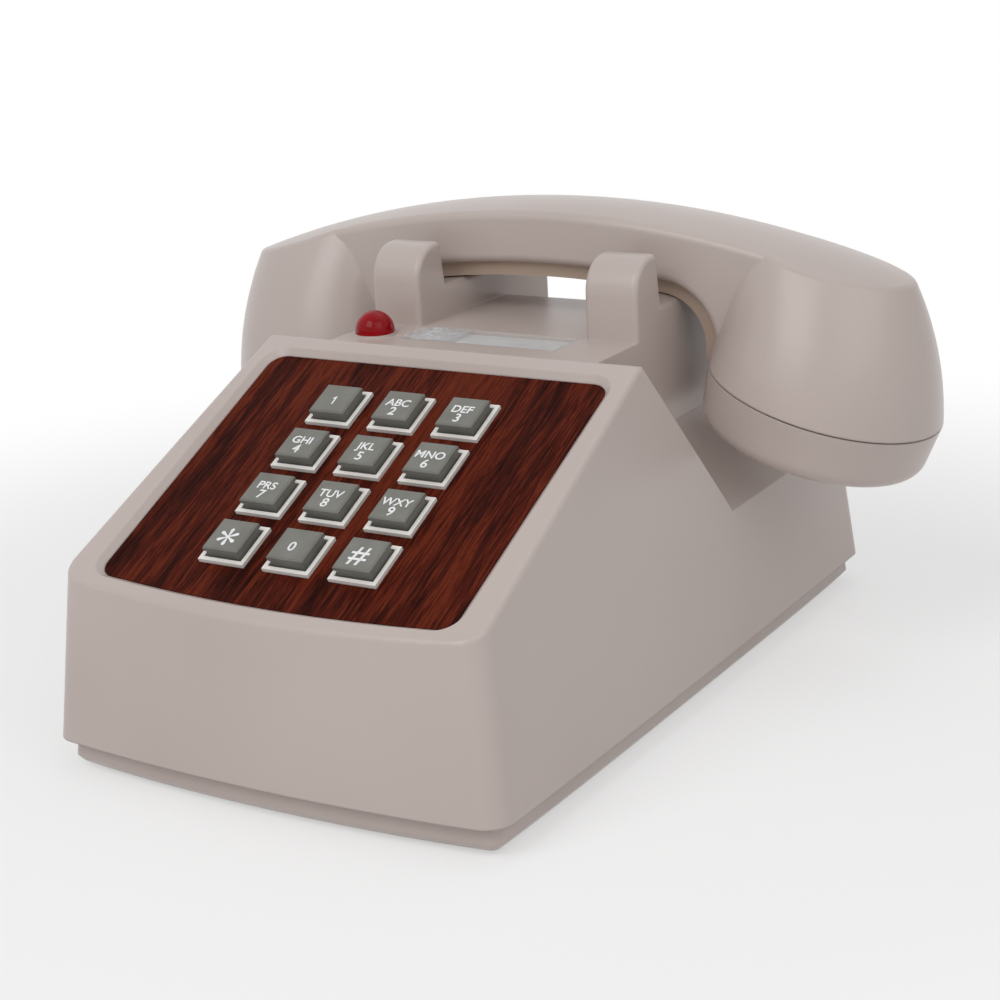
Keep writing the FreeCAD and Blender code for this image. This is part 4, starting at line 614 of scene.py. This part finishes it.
# Handset: an arched ash shell whose two round caps screw on over the capsules, with a steel ballast
# inside and a black cord jack in its left end. The grip cover is a separate strip in a darker tan,
# set into the underside of the handle.
TAN_DEEP = (0.43, 0.335, 0.26, 1)
TAN = (0.46, 0.362, 0.285, 1)
TAN_PALE = (0.48, 0.385, 0.31, 1)
TAN_GLOSS = 0.33
tan = moulded_plastic("tan_grip", TAN_DEEP, TAN, TAN_PALE, TAN_GLOSS)
dress(ash, "handset_shell", "receiver_cap", "transmitter_cap")
dress(tan, "grip_cover")
dress(steel, "receiver_capsule", "transmitter_capsule", "handset_ballast")
dress(black, "handset_jack")
fit_contacts("handset_jack", "handset", True)

# Floor: a wide pale sheet just under the feet. It takes the soft shadow near the telephone and
# fades to plain white further out. From below it is clear, so that the pan can be seen.
FLOOR_REACH = 3.0
FLOOR_DROP = 0.00005
FLOOR_PAINT = (0.9, 0.9, 0.9, 1)
SHADOW_NEAR = 0.16
SHADOW_FAR = 0.36
SHADOW_WASH = 0.5
PLAIN_WHITE = (1, 1, 1, 1)


def seen_rays(add):
    """1 for rays by which the camera, gloss or clear plastic sees the background."""
    rays = add("ShaderNodeLightPath").outputs
    seen = rays["Is Camera Ray"]
    for kind in ("Is Glossy Ray", "Is Transmission Ray"):
        seen = add("ShaderNodeMath", [(0, seen), (1, rays[kind])], operation="MAXIMUM").outputs[0]
    return seen


def mix_shaders(add, share, first, second):
    """Mix of two shaders: the first at a share of 0, the second at 1."""
    return add("ShaderNodeMixShader", [("Fac", share), (1, first.outputs[0]), (2, second.outputs[0])])


build = bmesh.new()
bmesh.ops.create_grid(build, x_segments=1, y_segments=1, size=FLOOR_REACH)
bmesh.ops.translate(build, vec=(0, 0, -FLOOR_DROP), verts=build.verts)
floor_mesh = bpy.data.meshes.new("floor")
build.to_mesh(floor_mesh)
build.free()
floor_paint, add, place = new_material("pale_floor")
away = add("ShaderNodeVectorMath", [(0, place)], operation="LENGTH").outputs["Value"]
fade = add("ShaderNodeMapRange", [("Value", away)], interpolation_type="SMOOTHSTEP", From_Min=SHADOW_NEAR,
           From_Max=SHADOW_FAR, To_Min=SHADOW_WASH).outputs["Result"]
plain = add("ShaderNodeMath", [(0, fade), (1, seen_rays(add))], operation="MULTIPLY").outputs[0]
paint = add("ShaderNodeBsdfDiffuse", Color=FLOOR_PAINT)
white_out = add("ShaderNodeEmission", Color=PLAIN_WHITE, Strength=1.0)
above = mix_shaders(add, plain, paint, white_out)
below = add("ShaderNodeNewGeometry").outputs["Backfacing"]
surface = mix_shaders(add, below, above, add("ShaderNodeBsdfTransparent"))
add("ShaderNodeOutputMaterial", [("Surface", surface.outputs[0])])
floor_mesh.materials.append(floor_paint)
floor = new_piece("floor", floor_mesh)

# Studio: an even white room, seen as plain white, with a large soft lamp in front, a weaker one at
# the right and a faint one above the back.
SKY_LIGHT = 0.43
LAMP_AIM = (0, 0, 0.06)
LAMPS = (("key_light", (-0.15, -0.88, 0.92), 0.7, 4.9), ("fill_light", (0.85, -0.45, 0.80), 0.8, 2.4),
         ("top_light", (0.1, 0.35, 1.1), 0.8, 1.0))


def turned_to(place, aim):
    """Turn of a lamp or camera at a place that looks at a point."""
    return (Vector(aim) - Vector(place)).to_track_quat("-Z", "Y")


world = bpy.data.worlds.new("studio")
bpy.context.scene.world = world
world.use_nodes = True
add = node_adder(world.node_tree)
sky = add("ShaderNodeBackground", Color=PLAIN_WHITE, Strength=SKY_LIGHT)
backdrop = add("ShaderNodeBackground", Color=PLAIN_WHITE, Strength=1.0)
room = mix_shaders(add, seen_rays(add), sky, backdrop)
add("ShaderNodeOutputWorld", [("Surface", room.outputs[0])])
for name, place, size, power in LAMPS:
    lamp = bpy.data.lights.new(name, "AREA")
    lamp.shape = "SQUARE"
    lamp.size = size
    lamp.energy = power
    holder = new_piece(name, lamp)
    holder.location = place
    holder.rotation_euler = turned_to(place, LAMP_AIM).to_euler()

# Camera: stands at the right of the front, a little above the telephone, with a long lens and a
# slight roll.
EYE_PLACE = (0.2816, -0.4487, 0.2083)
EYE_AIM = (0.0057, -0.0010, 0.0472)
EYE_ROLL = -3.0
EYE_LENS = 76.4
EYE_SENSOR = 36
eye = bpy.data.cameras.new("camera")
eye.sensor_width = EYE_SENSOR
eye.lens = EYE_LENS
camera = new_piece("camera", eye)
camera.location = EYE_PLACE
roll = Quaternion((0, 0, 1), math.radians(EYE_ROLL))
camera.rotation_euler = (turned_to(EYE_PLACE, EYE_AIM) @ roll).to_euler()
bpy.context.scene.camera = camera
bpy.context.scene.view_settings.view_transform = "Standard"
